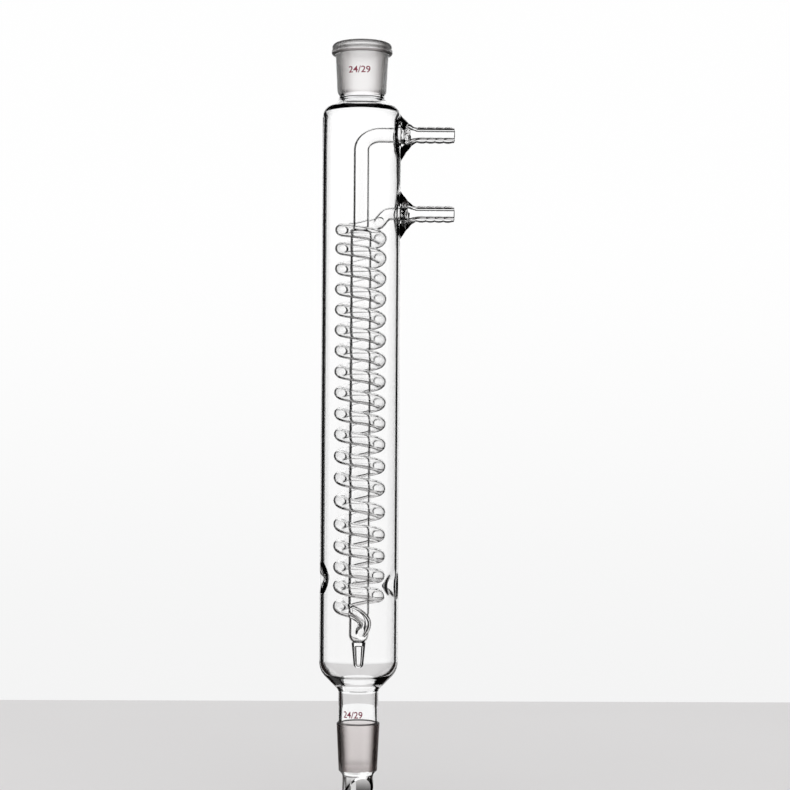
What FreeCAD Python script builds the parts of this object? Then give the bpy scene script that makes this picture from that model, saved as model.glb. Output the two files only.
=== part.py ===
import FreeCAD, Part
import math
import os
import Sketcher

# A coil reflux condenser, lamp-blown and sealed into one piece of borosilicate glass.
# Origin: on the main axis, at the large end of the lower ground cone.
# +Z points up the main axis and +X along the two hose connectors.
# Lengths are in millimetres and angles in degrees.

Vector = FreeCAD.Vector
Placement = FreeCAD.Placement
Rotation = FreeCAD.Rotation

NODE = "condenser"
INTO_BULB = Vector(-0.1, 0.72, -0.68)

# Driving sizes: alias, value, meaning.
SIZES = [
    ("jacket_diameter", 44.0, "outside of the jacket tube"),
    ("jacket_wall", 2.0, "glass thickness of the jacket and its shoulders"),
    ("jacket_length", 312.0, "from the corner of the lower shoulder to that of the upper one"),
    ("lower_slope", 45.5, "steepness of the lower shoulder"),
    ("lower_rounding", 11.5, "outside rounding between jacket and lower shoulder"),
    ("upper_slope", 34.8, "steepness of the upper shoulder"),
    ("upper_rounding", 7.0, "outside rounding between jacket and upper shoulder"),
    ("neck_rounding", 3.0, "hollow rounding between a shoulder and its neck"),
    ("lower_neck_diameter", 22.3, "outside of the clear neck above the cone"),
    ("lower_neck_wall", 1.6, "glass thickness of the lower neck"),
    ("lower_neck_length", 18.5, "from the cone to the lower shoulder"),
    ("joint_diameter", 24.0, "large end of both ground joints"),
    ("joint_taper", 0.1, "loss of diameter for each millimetre of ground length"),
    ("cone_length", 27.5, "ground length of the lower cone"),
    ("cone_wall", 2.3, "glass thickness at the cone's small end"),
    ("tip_diameter", 17.3, "outside of the drip tip below the cone"),
    ("tip_wall", 1.5, "glass thickness of the drip tip"),
    ("tip_length", 22.5, "from the cone's small end down to the point of the tip"),
    ("tip_slant", 51.8, "slant of the cut that opens the drip tip"),
    ("tip_facing", -70.0, "azimuth that the slanted cut faces"),
    ("upper_neck_diameter", 25.2, "outside of the neck below the socket"),
    ("upper_neck_wall", 2.1, "glass thickness of the upper neck"),
    ("upper_neck_length", 3.0, "from the upper shoulder to the socket"),
    ("socket_length", 29.0, "ground length of the upper socket"),
    ("socket_base_diameter", 27.6, "outside of the socket at its lower end"),
    ("socket_top_diameter", 29.8, "outside of the socket just below its bead"),
    ("bead_diameter", 34.2, "outside of the beaded rim"),
    ("bead_height", 6.9, "height of the double bead"),
    ("bead_groove", 0.5, "depth of the groove between the two rolls of the bead"),
    ("lower_roll_height", 3.2, "height of the bead's lower roll"),
    ("lower_roll_radius", 2.1, "radius of the lower roll's outline"),
    ("upper_roll_radius", 2.35, "radius of the upper roll's outline"),
    ("bead_lean", 1.9, "how far the bead's top edge lies inside its outside"),
    ("upper_arm_drop", 12.5, "from the corner of the upper shoulder down to the upper hose connector"),
    ("arm_spacing", 44.5, "from the upper hose connector down to the lower one"),
    ("arm_reach", 52.2, "from the main axis to the open end of a connector"),
    ("arm_diameter", 8.6, "outside of a connector between its ridges"),
    ("arm_bore", 4.0, "water way in a connector"),
    ("ridge_height", 0.45, "height of a hose ridge"),
    ("ridge_pitch", 4.9, "from one hose ridge to the next"),
    ("ridge_count", 4, "hose ridges on a connector"),
    ("ridge_end_land", 1.2, "plain end beyond the last ridge"),
    ("flare_height", 14.2, "half height of a connector's flared root, at its base inside the wall"),
    ("flare_length", 10.4, "from the base of the flared root to the plain connector"),
    ("flare_sink", 1.4, "how far the base of the flared root lies inside the jacket's outside"),
    ("seal_depth", 2.5, "how far a ring seal stands out from the jacket's outside"),
    ("pocket_radius", 6.0, "radius of the space round an inner tube, where it leaves the jacket"),
    ("return_diameter", 9.0, "outside of the return tube, which hangs from the upper connector"),
    ("return_wall", 1.0, "glass thickness of the return tube"),
    ("return_bend", 7.6, "bend radius of the return tube, at its centre line"),
    ("core_diameter", 12.1, "outside of the straight tube inside the coil"),
    ("core_wall", 1.05, "glass thickness of the core tube and its bulb"),
    ("core_drop", 7.5, "from the lower hose connector down to the top of the core tube"),
    ("core_narrowing", 2.0, "height over which the core tube narrows into its bulb"),
    ("bulb_diameter", 11.2, "outside of the closed bulb under the core tube"),
    ("bulb_rise", 14.3, "from the corner of the lower shoulder up to the bulb's lowest point"),
    ("bulb_height", 17.2, "from the bulb's lowest point up to the plain core tube"),
    ("drip_top_diameter", 7.9, "outside of the drip rod where it leaves the bulb"),
    ("drip_end_diameter", 5.1, "outside of the drip rod at its end"),
    ("drip_length", 14.2, "from the bulb's bottom to the end of the drip rod"),
    ("drip_top_bore", 2.8, "hollow of the drip rod at its top"),
    ("drip_end_bore", 1.5, "hollow of the drip rod at its open end"),
    ("coil_tube_diameter", 7.3, "outside of the coiled tube"),
    ("coil_tube_wall", 1.0, "glass thickness of the coiled tube"),
    ("coil_radius", 11.0, "radius of the coil at its centre line"),
    ("coil_turns", 18, "whole turns between the first and last crossing on the left"),
    ("coil_entry_fall", 8.8, "from the lower hose connector down to the first crossing on the left"),
    ("coil_rise", 21.4, "from the bulb's lowest point up to the last crossing on the left"),
    ("coil_entry_angle", 18.0, "azimuth at which the lead from the lower connector joins the coil"),
    ("coil_entry_reach", 4.9, "how far outside the coil's circle that lead starts to bend"),
    ("coil_exit_angle", 62.0, "turn after the last left crossing at which the coil leaves its circle"),
    ("coil_exit_drop", 5.8, "fall from the coil's end to the side of the S-bend in front of the bulb"),
    ("coil_exit_side", 2.9, "how far the S-bend swings past the main axis"),
    ("bulb_entry_side", 1.1, "how far beside the main axis the S-bend ends in the bulb"),
    ("bulb_entry_depth", 2.2, "how far in front of the main axis it ends there"),
    ("dimple_rise", 11.8, "from the last crossing on the left up to the dimples that steady the coil"),
    ("dimple_count", 3, "dimples round the jacket"),
    ("dimple_facing", -16.5, "azimuth of the first dimple"),
    ("dimple_gap", 0.3, "clearance between a dimple and the coil"),
    ("dimple_nose", 3.2, "radius of a dimple's nose, inside the jacket"),
    ("dimple_slope", 46.0, "slope of a dimple's side from its own axis"),
    ("edge_polish", 0.6, "rounding of fire-polished ends"),
]

# Sizes worked out from the driving ones: alias, formula.
FORMULAS = [
    ("jacket_outer", "jacket_diameter / 2"),
    ("jacket_inner", "jacket_outer - jacket_wall"),
    ("lower_neck_outer", "lower_neck_diameter / 2"),
    ("lower_neck_inner", "lower_neck_outer - lower_neck_wall"),
    ("lower_corner", "lower_neck_length + (jacket_outer - lower_neck_outer) * tan(lower_slope)"),
    ("upper_corner", "lower_corner + jacket_length"),
    ("lower_slant_wall", "jacket_wall / cos(lower_slope)"),
    ("upper_slant_wall", "jacket_wall / cos(upper_slope)"),
    ("upper_neck_outer", "upper_neck_diameter / 2"),
    ("upper_neck_inner", "upper_neck_outer - upper_neck_wall"),
    ("upper_neck_foot", "upper_corner + (jacket_outer - upper_neck_outer) * tan(upper_slope)"),
    ("socket_bottom", "upper_neck_foot + upper_neck_length"),
    ("socket_top", "socket_bottom + socket_length"),
    ("joint_radius", "joint_diameter / 2"),
    ("socket_small", "joint_radius - joint_taper * socket_length / 2"),
    ("cone_small", "joint_radius - joint_taper * cone_length / 2"),
    ("tip_outer", "tip_diameter / 2"),
    ("tip_inner", "tip_outer - tip_wall"),
    ("tip_bottom", "-cone_length - tip_length"),
    ("bead_outer", "bead_diameter / 2"),
    ("bead_bottom", "socket_top - bead_height"),
    ("bead_middle", "bead_bottom + lower_roll_height"),
    ("arm_outer", "arm_diameter / 2"),
    ("arm_inner", "arm_bore / 2"),
    ("upper_arm_height", "upper_corner - upper_arm_drop"),
    ("lower_arm_height", "upper_arm_height - arm_spacing"),
    ("ridge_arc", "ridge_pitch * ridge_pitch / (8 * ridge_height) + ridge_height / 2"),
    ("ridge_start", "arm_reach - ridge_end_land - ridge_count * ridge_pitch"),
    ("flare_base", "jacket_outer - flare_sink"),
    ("flare_width", "sqrt(jacket_outer * jacket_outer - flare_base * flare_base)"),
    ("flare_end", "flare_base + flare_length"),
    ("seal_reach", "jacket_outer + seal_depth"),
    ("return_outer", "return_diameter / 2"),
    ("return_inner", "return_outer - return_wall"),
    ("core_outer", "core_diameter / 2"),
    ("core_inner", "core_outer - core_wall"),
    ("bulb_outer", "bulb_diameter / 2"),
    ("bulb_inner", "bulb_outer - core_wall"),
    ("bulb_bottom", "lower_corner + bulb_rise"),
    ("bulb_centre", "bulb_bottom + bulb_outer"),
    ("core_top", "lower_arm_height - core_drop"),
    ("core_bottom", "bulb_bottom + bulb_height"),
    ("drip_end", "bulb_bottom - drip_length"),
    ("coil_tube_outer", "coil_tube_diameter / 2"),
    ("coil_tube_inner", "coil_tube_outer - coil_tube_wall"),
    ("coil_first_left", "lower_arm_height - coil_entry_fall"),
    ("coil_last_left", "bulb_bottom + coil_rise"),
    ("coil_pitch", "(coil_first_left - coil_last_left) / coil_turns"),
    ("coil_sweep", "180 - coil_entry_angle + 360 * coil_turns + coil_exit_angle"),
    ("coil_top", "coil_first_left + coil_pitch * (180 - coil_entry_angle) / 360"),
    ("coil_foot", "coil_last_left - coil_pitch * coil_exit_angle / 360"),
    ("dimple_height", "coil_last_left + dimple_rise"),
    ("dimple_tip", "coil_radius + coil_tube_outer + dimple_gap"),
    ("dimple_dent_nose", "dimple_nose - jacket_wall / 2"),
]


def make_sheet(document):
    """Write every size into one spreadsheet, with its alias beside it."""
    sheet = document.addObject("Spreadsheet::Sheet", "Size")
    for row, (alias, value, meaning) in enumerate(SIZES, start=1):
        sheet.set(f"A{row}", meaning)
        sheet.set(f"B{row}", str(value))
        sheet.setAlias(f"B{row}", alias)
    for row, (alias, formula) in enumerate(FORMULAS, start=len(SIZES) + 1):
        sheet.set(f"A{row}", "worked out")
        sheet.set(f"B{row}", "=" + formula)
        sheet.setAlias(f"B{row}", alias)
    document.recompute()
    return sheet


def value_of(sheet, expression):
    """The number that an expression on the sheet's aliases gives now."""
    return float(sheet.evalExpression(expression))


def bound(expression, sheet):
    """The same expression as another object has to write it, with the sheet's name before each alias."""
    words = expression
    aliases = sorted((row[0] for row in SIZES + FORMULAS), key=len, reverse=True)
    for index, alias in enumerate(aliases):
        words = words.replace(alias, f"<{index}>")
    for index, alias in enumerate(aliases):
        words = words.replace(f"<{index}>", f"{sheet.Name}.{alias}")
    return words


def origin_plane(body, role):
    """One of a body's own origin planes or axes, found by its role."""
    return next(feature for feature in body.Origin.OriginFeatures if feature.Role == role)


def arc_between(start, end, radius):
    """The shorter arc from start to end, turning left where radius is positive and right where negative."""
    chord = end - start
    half = chord.Length / 2
    rise = math.sqrt(max(radius * radius - half * half, 0.0))
    side = Vector(-chord.y, chord.x, 0).normalize() * math.copysign(1.0, radius)
    centre = start + chord * 0.5 + side * rise
    middle = centre - side * abs(radius)
    return Part.Arc(start, middle, end)


def draw_outline(sheet, sketch, corners):
    """Close an outline through corners: each is x and y, and the radius of the arc that leaves it, or None.

    Every corner is held to the sheet by two distances, and every arc by its radius.
    """
    places = [Vector(value_of(sheet, x), value_of(sheet, y), 0) for x, y, _ in corners]
    count = len(corners)
    for index, (_, _, radius) in enumerate(corners):
        start, end = places[index], places[(index + 1) % count]
        if radius is None:
            sketch.addGeometry(Part.LineSegment(start, end), False)
        else:
            sketch.addGeometry(arc_between(start, end, value_of(sheet, radius)), False)
    ends = [first_and_last(sketch, index, places[index]) for index in range(count)]
    for index in range(count):
        following = (index + 1) % count
        sketch.addConstraint(Sketcher.Constraint("Coincident", index, ends[index][1], following, ends[following][0]))
    for index, (x, y, radius) in enumerate(corners):
        hold(sheet, sketch, "DistanceX", index, ends[index][0], places[index].x, x)
        hold(sheet, sketch, "DistanceY", index, ends[index][0], places[index].y, y)
        if radius is not None:
            size = abs(value_of(sheet, radius))
            number = sketch.addConstraint(Sketcher.Constraint("Radius", index, size))
            sketch.setExpression(f"Constraints[{number}]", f"abs({bound(radius, sheet)})")


def first_and_last(sketch, index, start):
    """Which end of an edge of the sketch is its start on the outline: 1 and 2, or 2 and 1."""
    if sketch.getPoint(index, 1).distanceToPoint(start) < sketch.getPoint(index, 2).distanceToPoint(start):
        return 1, 2
    return 2, 1


def hold(sheet, sketch, kind, index, end, now, expression):
    """Hold one end of an edge at a distance from the sketch's origin, along one axis."""
    number = sketch.addConstraint(Sketcher.Constraint(kind, -1, 1, index, end, now))
    sketch.setExpression(f"Constraints[{number}]", bound(expression, sheet))


def add_sketch(body, name, role, turn="0", sheet=None):
    """A sketch on one of the body's origin planes, turned about the main axis where turn says so."""
    sketch = body.newObject("Sketcher::SketchObject", name)
    sketch.AttachmentSupport = [(origin_plane(body, role), "")]
    sketch.MapMode = "FlatFace"
    if sheet is not None:
        sketch.AttachmentOffset = Placement(Vector(), Rotation(Vector(0, 1, 0), value_of(sheet, turn)))
        sketch.setExpression("AttachmentOffset.Rotation.Axis.y", "1")
        sketch.setExpression("AttachmentOffset.Rotation.Angle", bound(turn, sheet))
    return sketch


def revolve(body, name, sketch, axis, kind="PartDesign::Revolution"):
    """Turn a sketch through a full circle about one of its own axes: it adds glass, or takes it away."""
    feature = body.newObject(kind, name)
    feature.Profile = sketch
    feature.ReferenceAxis = (sketch, [axis])
    feature.Angle = 360.0
    return feature


def round_ring(body, sheet, name, radius, height, rounding):
    """Round the circular edge that lies at a radius and a height about the main axis."""
    body.Document.recompute()
    base = body.Tip
    wanted = value_of(sheet, radius), value_of(sheet, height)
    names = []
    for number, edge in enumerate(base.Shape.Edges, start=1):
        box = edge.BoundBox
        ring = box.ZLength < 1e-6 and abs(box.XLength - 2 * wanted[0]) < 1e-4
        if ring and abs(box.ZMax - wanted[1]) < 1e-4:
            names.append(f"Edge{number}")
    fillet = body.newObject("PartDesign::Fillet", name)
    fillet.Base = (base, names)
    fillet.Radius = value_of(sheet, rounding)
    fillet.setExpression("Radius", bound(rounding, sheet))


def make_jacket(document, sheet):
    """The jacket's wall in one revolved section: drip tip, cone, neck, shoulders, jacket, socket, bead."""
    body = document.addObject("PartDesign::Body", "jacket")
    section = add_sketch(body, "wall_section", "XZ_Plane")
    outside = [
        ("tip_inner", "tip_bottom", None),
        ("tip_outer", "tip_bottom", None),
        ("tip_outer", "-cone_length - joint_taper * tip_diameter", None),
        ("cone_small", "-cone_length", None),
        ("joint_radius", "0", None),
        ("lower_neck_outer", "joint_radius - lower_neck_outer", None),
        ("lower_neck_outer", "lower_neck_length", None),
        ("jacket_outer", "lower_corner", None),
        ("jacket_outer", "upper_corner", None),
        ("upper_neck_outer", "upper_neck_foot", None),
        ("upper_neck_outer", "socket_bottom - upper_neck_length / 4", None),
        ("socket_base_diameter / 2", "socket_bottom + upper_neck_length / 4", None),
        ("socket_top_diameter / 2", "bead_bottom", "lower_roll_radius"),
        ("bead_outer - bead_groove", "bead_middle", "upper_roll_radius"),
        ("bead_outer - bead_lean", "socket_top", None),
    ]
    inside = [
        ("joint_radius + edge_polish", "socket_top", None),
        ("joint_radius - joint_taper * edge_polish", "socket_top - 2 * edge_polish", None),
        ("socket_small", "socket_bottom", None),
        ("upper_neck_inner", "socket_bottom - upper_neck_length / 2", None),
        ("upper_neck_inner",
         "upper_corner + (jacket_outer - upper_neck_inner) * tan(upper_slope) - upper_slant_wall", None),
        ("jacket_inner", "upper_corner + jacket_wall * tan(upper_slope) - upper_slant_wall", None),
        ("jacket_inner", "lower_corner - jacket_wall * tan(lower_slope) + lower_slant_wall", None),
        ("lower_neck_inner",
         "lower_corner - (jacket_outer - lower_neck_inner) * tan(lower_slope) + lower_slant_wall", None),
        ("lower_neck_inner", "0", None),
        ("cone_small - cone_wall", "-cone_length", None),
        ("tip_inner", "-cone_length - joint_taper * tip_diameter", None),
    ]
    draw_outline(sheet, section, outside + inside)
    revolve(body, "wall", section, "V_Axis")
    round_ring(body, sheet, "lower_corner_outside", "jacket_outer", "lower_corner", "lower_rounding")
    round_ring(body, sheet, "lower_corner_inside", "jacket_inner",
               "lower_corner - jacket_wall * tan(lower_slope) + lower_slant_wall", "lower_rounding - jacket_wall")
    round_ring(body, sheet, "upper_corner_outside", "jacket_outer", "upper_corner", "upper_rounding")
    round_ring(body, sheet, "upper_corner_inside", "jacket_inner",
               "upper_corner + jacket_wall * tan(upper_slope) - upper_slant_wall", "upper_rounding - jacket_wall")
    round_ring(body, sheet, "lower_neck_hollow", "lower_neck_outer", "lower_neck_length", "neck_rounding")
    round_ring(body, sheet, "upper_neck_hollow", "upper_neck_outer", "upper_neck_foot", "neck_rounding")
    cut_tip(body, sheet)
    press_dimples(body, sheet)
    return body


def cut_tip(body, sheet):
    """Open the drip tip with a slanted cut: what lies under a sloping line is taken away, right through."""
    sketch = add_sketch(body, "tip_cut_line", "XZ_Plane", "tip_facing", sheet)
    low = "tip_bottom - tip_diameter"
    draw_outline(sheet, sketch, [
        ("-tip_outer", "tip_bottom", None),
        ("-tip_outer", low, None),
        ("tip_diameter", low, None),
        ("tip_diameter", "tip_bottom + 3 * tip_outer * tan(tip_slant)", None),
    ])
    pocket = body.newObject("PartDesign::Pocket", "tip_cut")
    pocket.Profile = sketch
    pocket.Type = "Length"
    pocket.Midplane = True
    pocket.Length = value_of(sheet, "2 * tip_diameter")
    pocket.setExpression("Length", bound("2 * tip_diameter", sheet))


def press_dimples(body, sheet):
    """Three dents with rounded noses, pressed in from the outside, which keep the coil central."""
    nose_rise = "dimple_nose * (1 - sin(dimple_slope))"
    nose_half = "dimple_nose * cos(dimple_slope)"
    dent_rise = "dimple_dent_nose * (1 - sin(dimple_slope))"
    dent_half = "dimple_dent_nose * cos(dimple_slope)"
    bump = add_sketch(body, "dimple_bump_outline", "XZ_Plane", "dimple_facing", sheet)
    root = "jacket_inner + jacket_wall / 4"
    bump_root = f"{nose_half} + ({root} - dimple_tip - {nose_rise}) * tan(dimple_slope)"
    draw_outline(sheet, bump, [
        ("dimple_tip", "dimple_height", None),
        (root, "dimple_height", None),
        (root, f"dimple_height + {bump_root}", None),
        (f"dimple_tip + {nose_rise}", f"dimple_height + {nose_half}", "dimple_nose"),
    ])
    dent = add_sketch(body, "dimple_dent_outline", "XZ_Plane", "dimple_facing", sheet)
    rim = "jacket_outer + jacket_wall / 2"
    tip = "dimple_tip + jacket_wall"
    dent_rim = f"{dent_half} + ({rim} - ({tip}) - {dent_rise}) * tan(dimple_slope)"
    draw_outline(sheet, dent, [
        (tip, "dimple_height", None),
        (rim, "dimple_height", None),
        (rim, f"dimple_height + {dent_rim}", None),
        (f"{tip} + {dent_rise}", f"dimple_height + {dent_half}", "dimple_dent_nose"),
    ])
    added = add_dimple_turn(body, "dimple_bump", bump, "PartDesign::Revolution")
    taken = add_dimple_turn(body, "dimple_dent", dent, "PartDesign::Groove")
    pattern = body.newObject("PartDesign::PolarPattern", "dimples")
    pattern.Originals = [added, taken]
    pattern.Axis = (origin_plane(body, "Z_Axis"), [""])
    pattern.Angle = 360.0
    pattern.Occurrences = int(value_of(sheet, "dimple_count"))
    pattern.setExpression("Occurrences", bound("dimple_count", sheet))
    body.Tip = pattern


def add_dimple_turn(body, name, sketch, kind):
    """Turn half of a dimple's outline about the dimple's own axis, which is the outline's first side."""
    feature = body.newObject(kind, name)
    feature.Profile = sketch
    feature.ReferenceAxis = (sketch, ["Edge1"])
    feature.Angle = 360.0
    return feature


def make_connector(document, sheet, name, height):
    """A hose connector's solid outside: a plain stem, its soft ridges and a polished end, along +X."""
    body = document.addObject("PartDesign::Body", f"{name}_connector")
    outline = add_sketch(body, f"{name}_connector_outline", "XZ_Plane")
    ridges = int(value_of(sheet, "ridge_count"))
    stem = [
        ("flare_base", "0", None),
        ("arm_reach", "0", None),
        ("arm_reach", "arm_outer", None),
    ]
    waves = [(f"ridge_start + {index} * ridge_pitch", "arm_outer", "ridge_arc") for index in range(ridges, 0, -1)]
    root = [
        ("ridge_start", "arm_outer", None),
        ("flare_base", "arm_outer", None),
    ]
    draw_outline(sheet, outline, stem + waves + root)
    revolve(body, f"{name}_connector_turned", outline, "H_Axis")
    body.Placement.Base = Vector(0, 0, value_of(sheet, height))
    body.setExpression("Placement.Base.z", bound(height, sheet))
    return body


def make_flare(document, sheet, name, height):
    """A connector's flared root: ellipses that grow as the square of the way from stem to wall."""
    steps = 4
    sections = []
    for step in range(steps + 1):
        share = (step / steps) ** 2
        ellipse = document.addObject("Part::Ellipse", f"{name}_flare_{step}")
        ellipse.setExpression("MajorRadius", bound(f"arm_outer + (flare_height - arm_outer) * {share}", sheet))
        ellipse.setExpression("MinorRadius", bound(f"arm_outer + (flare_width - arm_outer) * {share}", sheet))
        ellipse.Placement = Placement(Vector(), Rotation(Vector(0, 1, 0), 90))
        ellipse.setExpression("Placement.Base.x", bound(f"flare_end - flare_length * {step / steps}", sheet))
        ellipse.setExpression("Placement.Base.z", bound(height, sheet))
        sections.append(ellipse)
    loft = document.addObject("Part::Loft", f"{name}_flare")
    loft.Sections = sections
    loft.Solid = True
    loft.Ruled = False
    return loft


def add_turned(document, sheet, name, height, near, far, *radii):
    """A cone along +X, from near to far at a height on the main axis, or a cylinder where one radius is given."""
    kind, sizes = ("Cone", ("Radius1", "Radius2")) if len(radii) == 2 else ("Cylinder", ("Radius",))
    solid = document.addObject(f"Part::{kind}", name)
    for size, radius in zip(sizes, radii):
        solid.setExpression(size, bound(radius, sheet))
    solid.setExpression("Height", bound(f"{far} - ({near})", sheet))
    solid.Placement = Placement(Vector(), Rotation(Vector(0, 1, 0), 90))
    solid.setExpression("Placement.Base.x", bound(near, sheet))
    solid.setExpression("Placement.Base.z", bound(height, sheet))
    return solid


def add_round(document, sheet, name, radius):
    """A circle that a sweep or a route carries along."""
    circle = document.addObject("Part::Circle", name)
    circle.setExpression("Radius", bound(radius, sheet))
    return circle


def sweep_along(document, name, circle, route):
    """A round bar along a route, which starts where the circle stands."""
    bar = document.addObject("Part::Sweep", name)
    bar.Sections = [circle]
    bar.Spine = (route, [f"Edge{number}" for number in range(1, len(route.Shape.Edges) + 1)])
    bar.Solid = True
    bar.Frenet = False
    return bar


def make_return_tube(document, sheet):
    """The route and the two bars of the return tube: across from the upper seal, then down the axis."""
    route = document.addObject("Sketcher::SketchObject", "return_route")
    route.Placement = Placement(Vector(), Rotation(Vector(1, 0, 0), 90))
    height = value_of(sheet, "upper_arm_height")
    bend = value_of(sheet, "return_bend")
    seal = value_of(sheet, "seal_reach")
    foot = value_of(sheet, "core_top - core_wall")
    start, turn_in = Vector(seal, height, 0), Vector(bend, height, 0)
    turn_out, end = Vector(0, height - bend, 0), Vector(0, foot, 0)
    route.addGeometry(Part.LineSegment(start, turn_in), False)
    route.addGeometry(arc_between(turn_in, turn_out, bend), False)
    route.addGeometry(Part.LineSegment(turn_out, end), False)
    low = first_and_last(route, 1, turn_in)
    route.addConstraint(Sketcher.Constraint("Coincident", 0, 2, 1, low[0]))
    route.addConstraint(Sketcher.Constraint("Coincident", 1, low[1], 2, 1))
    hold(sheet, route, "DistanceX", 0, 1, start.x, "seal_reach")
    hold(sheet, route, "DistanceY", 0, 1, start.y, "upper_arm_height")
    hold(sheet, route, "DistanceX", 0, 2, turn_in.x, "return_bend")
    hold(sheet, route, "DistanceY", 0, 2, turn_in.y, "upper_arm_height")
    hold(sheet, route, "DistanceX", 2, 1, turn_out.x, "0")
    hold(sheet, route, "DistanceY", 2, 1, turn_out.y, "upper_arm_height - return_bend")
    hold(sheet, route, "DistanceX", 2, 2, end.x, "0")
    hold(sheet, route, "DistanceY", 2, 2, end.y, "core_top - core_wall")
    radius = route.addConstraint(Sketcher.Constraint("Radius", 1, bend))
    route.setExpression(f"Constraints[{radius}]", bound("return_bend", sheet))
    document.recompute()
    bars = []
    for name, size in (("return_tube", "return_outer"), ("return_bore", "return_inner")):
        circle = add_round(document, sheet, f"{name}_round", size)
        circle.Placement = Placement(start_in_space(route, start), Rotation(Vector(0, 1, 0), -90))
        circle.setExpression("Placement.Base.x", bound("seal_reach", sheet))
        circle.setExpression("Placement.Base.z", bound("upper_arm_height", sheet))
        bars.append(sweep_along(document, name, circle, route))
    return bars


def start_in_space(route, place):
    """A sketch's own point, as a place in the frame of the whole condenser."""
    return route.Placement.multVec(place)


def make_core(document, sheet):
    """The core tube with its closed bulb, as a solid outside, and the same a wall smaller as its water space."""
    solids = []
    for name, wall in (("core_tube", "0"), ("core_space", "core_wall")):
        body = document.addObject("PartDesign::Body", name)
        outline = add_sketch(body, f"{name}_outline", "XZ_Plane")
        draw_outline(sheet, outline, [
            ("0", f"core_top - {wall}", None),
            ("0", f"bulb_bottom + {wall}", f"bulb_outer - {wall}"),
            (f"bulb_outer - {wall}", "bulb_centre", None),
            (f"bulb_outer - {wall}", "core_bottom - core_narrowing", None),
            (f"core_outer - {wall}", "core_bottom", None),
            (f"core_outer - {wall}", f"core_top - {wall} - (core_outer - return_outer)", None),
            (f"return_outer - {wall}", f"core_top - {wall}", None),
        ])
        revolve(body, f"{name}_turned", outline, "V_Axis")
        solids.append(body)
    return solids


def make_drip_rod(document, sheet):
    """The drip rod under the bulb: a tapered outside with a polished end, and the hollow that opens at its end."""
    rod = document.addObject("PartDesign::Body", "drip_rod")
    outline = add_sketch(rod, "drip_rod_outline", "XZ_Plane")
    draw_outline(sheet, outline, [
        ("0", "bulb_bottom + core_wall", None),
        ("0", "drip_end", None),
        ("drip_end_diameter / 2 - edge_polish", "drip_end", "edge_polish"),
        ("drip_end_diameter / 2", "drip_end + edge_polish", None),
        ("drip_top_diameter / 2", "bulb_bottom + core_wall", None),
    ])
    revolve(rod, "drip_rod_turned", outline, "V_Axis")
    hollow = document.addObject("Part::Cone", "drip_hollow")
    hollow.setExpression("Radius1", bound("drip_end_bore / 2", sheet))
    hollow.setExpression("Radius2", bound("drip_top_bore / 2", sheet))
    hollow.setExpression("Height", bound("bulb_bottom - core_wall / 2 - drip_end", sheet))
    hollow.setExpression("Placement.Base.z", bound("drip_end", sheet))
    return rod, hollow


def on_coil(sheet, azimuth, height):
    """A place on the coil's centre line, and the direction in which the water runs down there."""
    radius = value_of(sheet, "coil_radius")
    fall = value_of(sheet, "coil_pitch") / (2 * math.pi * radius)
    angle = math.radians(azimuth)
    place = Vector(radius * math.cos(angle), radius * math.sin(angle), height)
    heading = Vector(-math.sin(angle), math.cos(angle), -fall)
    return place, heading.normalize()


def smooth_edge(places, first_heading, last_heading):
    """One smooth edge through places, which leaves and arrives along the two headings."""
    span = sum((after - before).Length for before, after in zip(places, places[1:]))
    tangents = [heading * span for heading in (first_heading, last_heading)]
    curve = Part.BSplineCurve()
    curve.interpolate(Points=places, InitialTangent=tangents[0], FinalTangent=tangents[1])
    return curve.toShape()


def make_coil(document, sheet):
    """The coiled tube, from the lower seal round the core tube and into the front of the bulb."""
    helix = document.addObject("Part::Helix", "coil_line")
    helix.setExpression("Radius", bound("coil_radius", sheet))
    helix.setExpression("Pitch", bound("coil_pitch", sheet))
    helix.setExpression("Height", bound("coil_pitch * coil_sweep / 360", sheet))
    helix.LocalCoord = "Left-handed"
    helix.Placement = Placement(Vector(), Rotation(Vector(0, 0, 1), 0))
    helix.setExpression("Placement.Base.z", bound("coil_foot", sheet))
    helix.Placement.Rotation = Rotation(Vector(0, 0, 1), 180 + value_of(sheet, "coil_exit_angle"))
    document.recompute()

    lower_arm = value_of(sheet, "lower_arm_height")
    seal = Vector(value_of(sheet, "seal_reach"), 0, lower_arm)
    top, top_heading = on_coil(sheet, value_of(sheet, "coil_entry_angle"), value_of(sheet, "coil_top"))
    bend_start = Vector(value_of(sheet, "coil_radius + coil_entry_reach"), 0, lower_arm)
    lead_in = [
        Part.LineSegment(seal, bend_start).toShape(),
        smooth_edge([bend_start, top], Vector(-1, 0, 0), top_heading),
    ]

    exit_azimuth = 180 + value_of(sheet, "coil_exit_angle")
    foot, foot_heading = on_coil(sheet, exit_azimuth, value_of(sheet, "coil_foot"))
    side = Vector(value_of(sheet, "coil_exit_side"), value_of(sheet, "-core_outer - coil_tube_outer"),
                  foot.z - value_of(sheet, "coil_exit_drop"))
    bulb = Vector(value_of(sheet, "bulb_entry_side"), value_of(sheet, "-bulb_entry_depth"),
                  value_of(sheet, "bulb_centre"))
    lead_out = [smooth_edge([foot, side, bulb], foot_heading, INTO_BULB)]

    route = document.addObject("Part::Feature", "coil_route")
    route.Shape = Part.Wire(Part.__sortEdges__(lead_in + helix.Shape.Edges + lead_out))
    bars = []
    for name, size in (("coil_tube", "coil_tube_outer"), ("coil_bore", "coil_tube_inner")):
        circle = add_round(document, sheet, f"{name}_round", size)
        circle.Placement = Placement(seal, Rotation(Vector(0, 1, 0), -90))
        circle.setExpression("Placement.Base.x", bound("seal_reach", sheet))
        circle.setExpression("Placement.Base.z", bound("lower_arm_height", sheet))
        bars.append(sweep_along(document, name, circle, route))
    return bars


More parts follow.
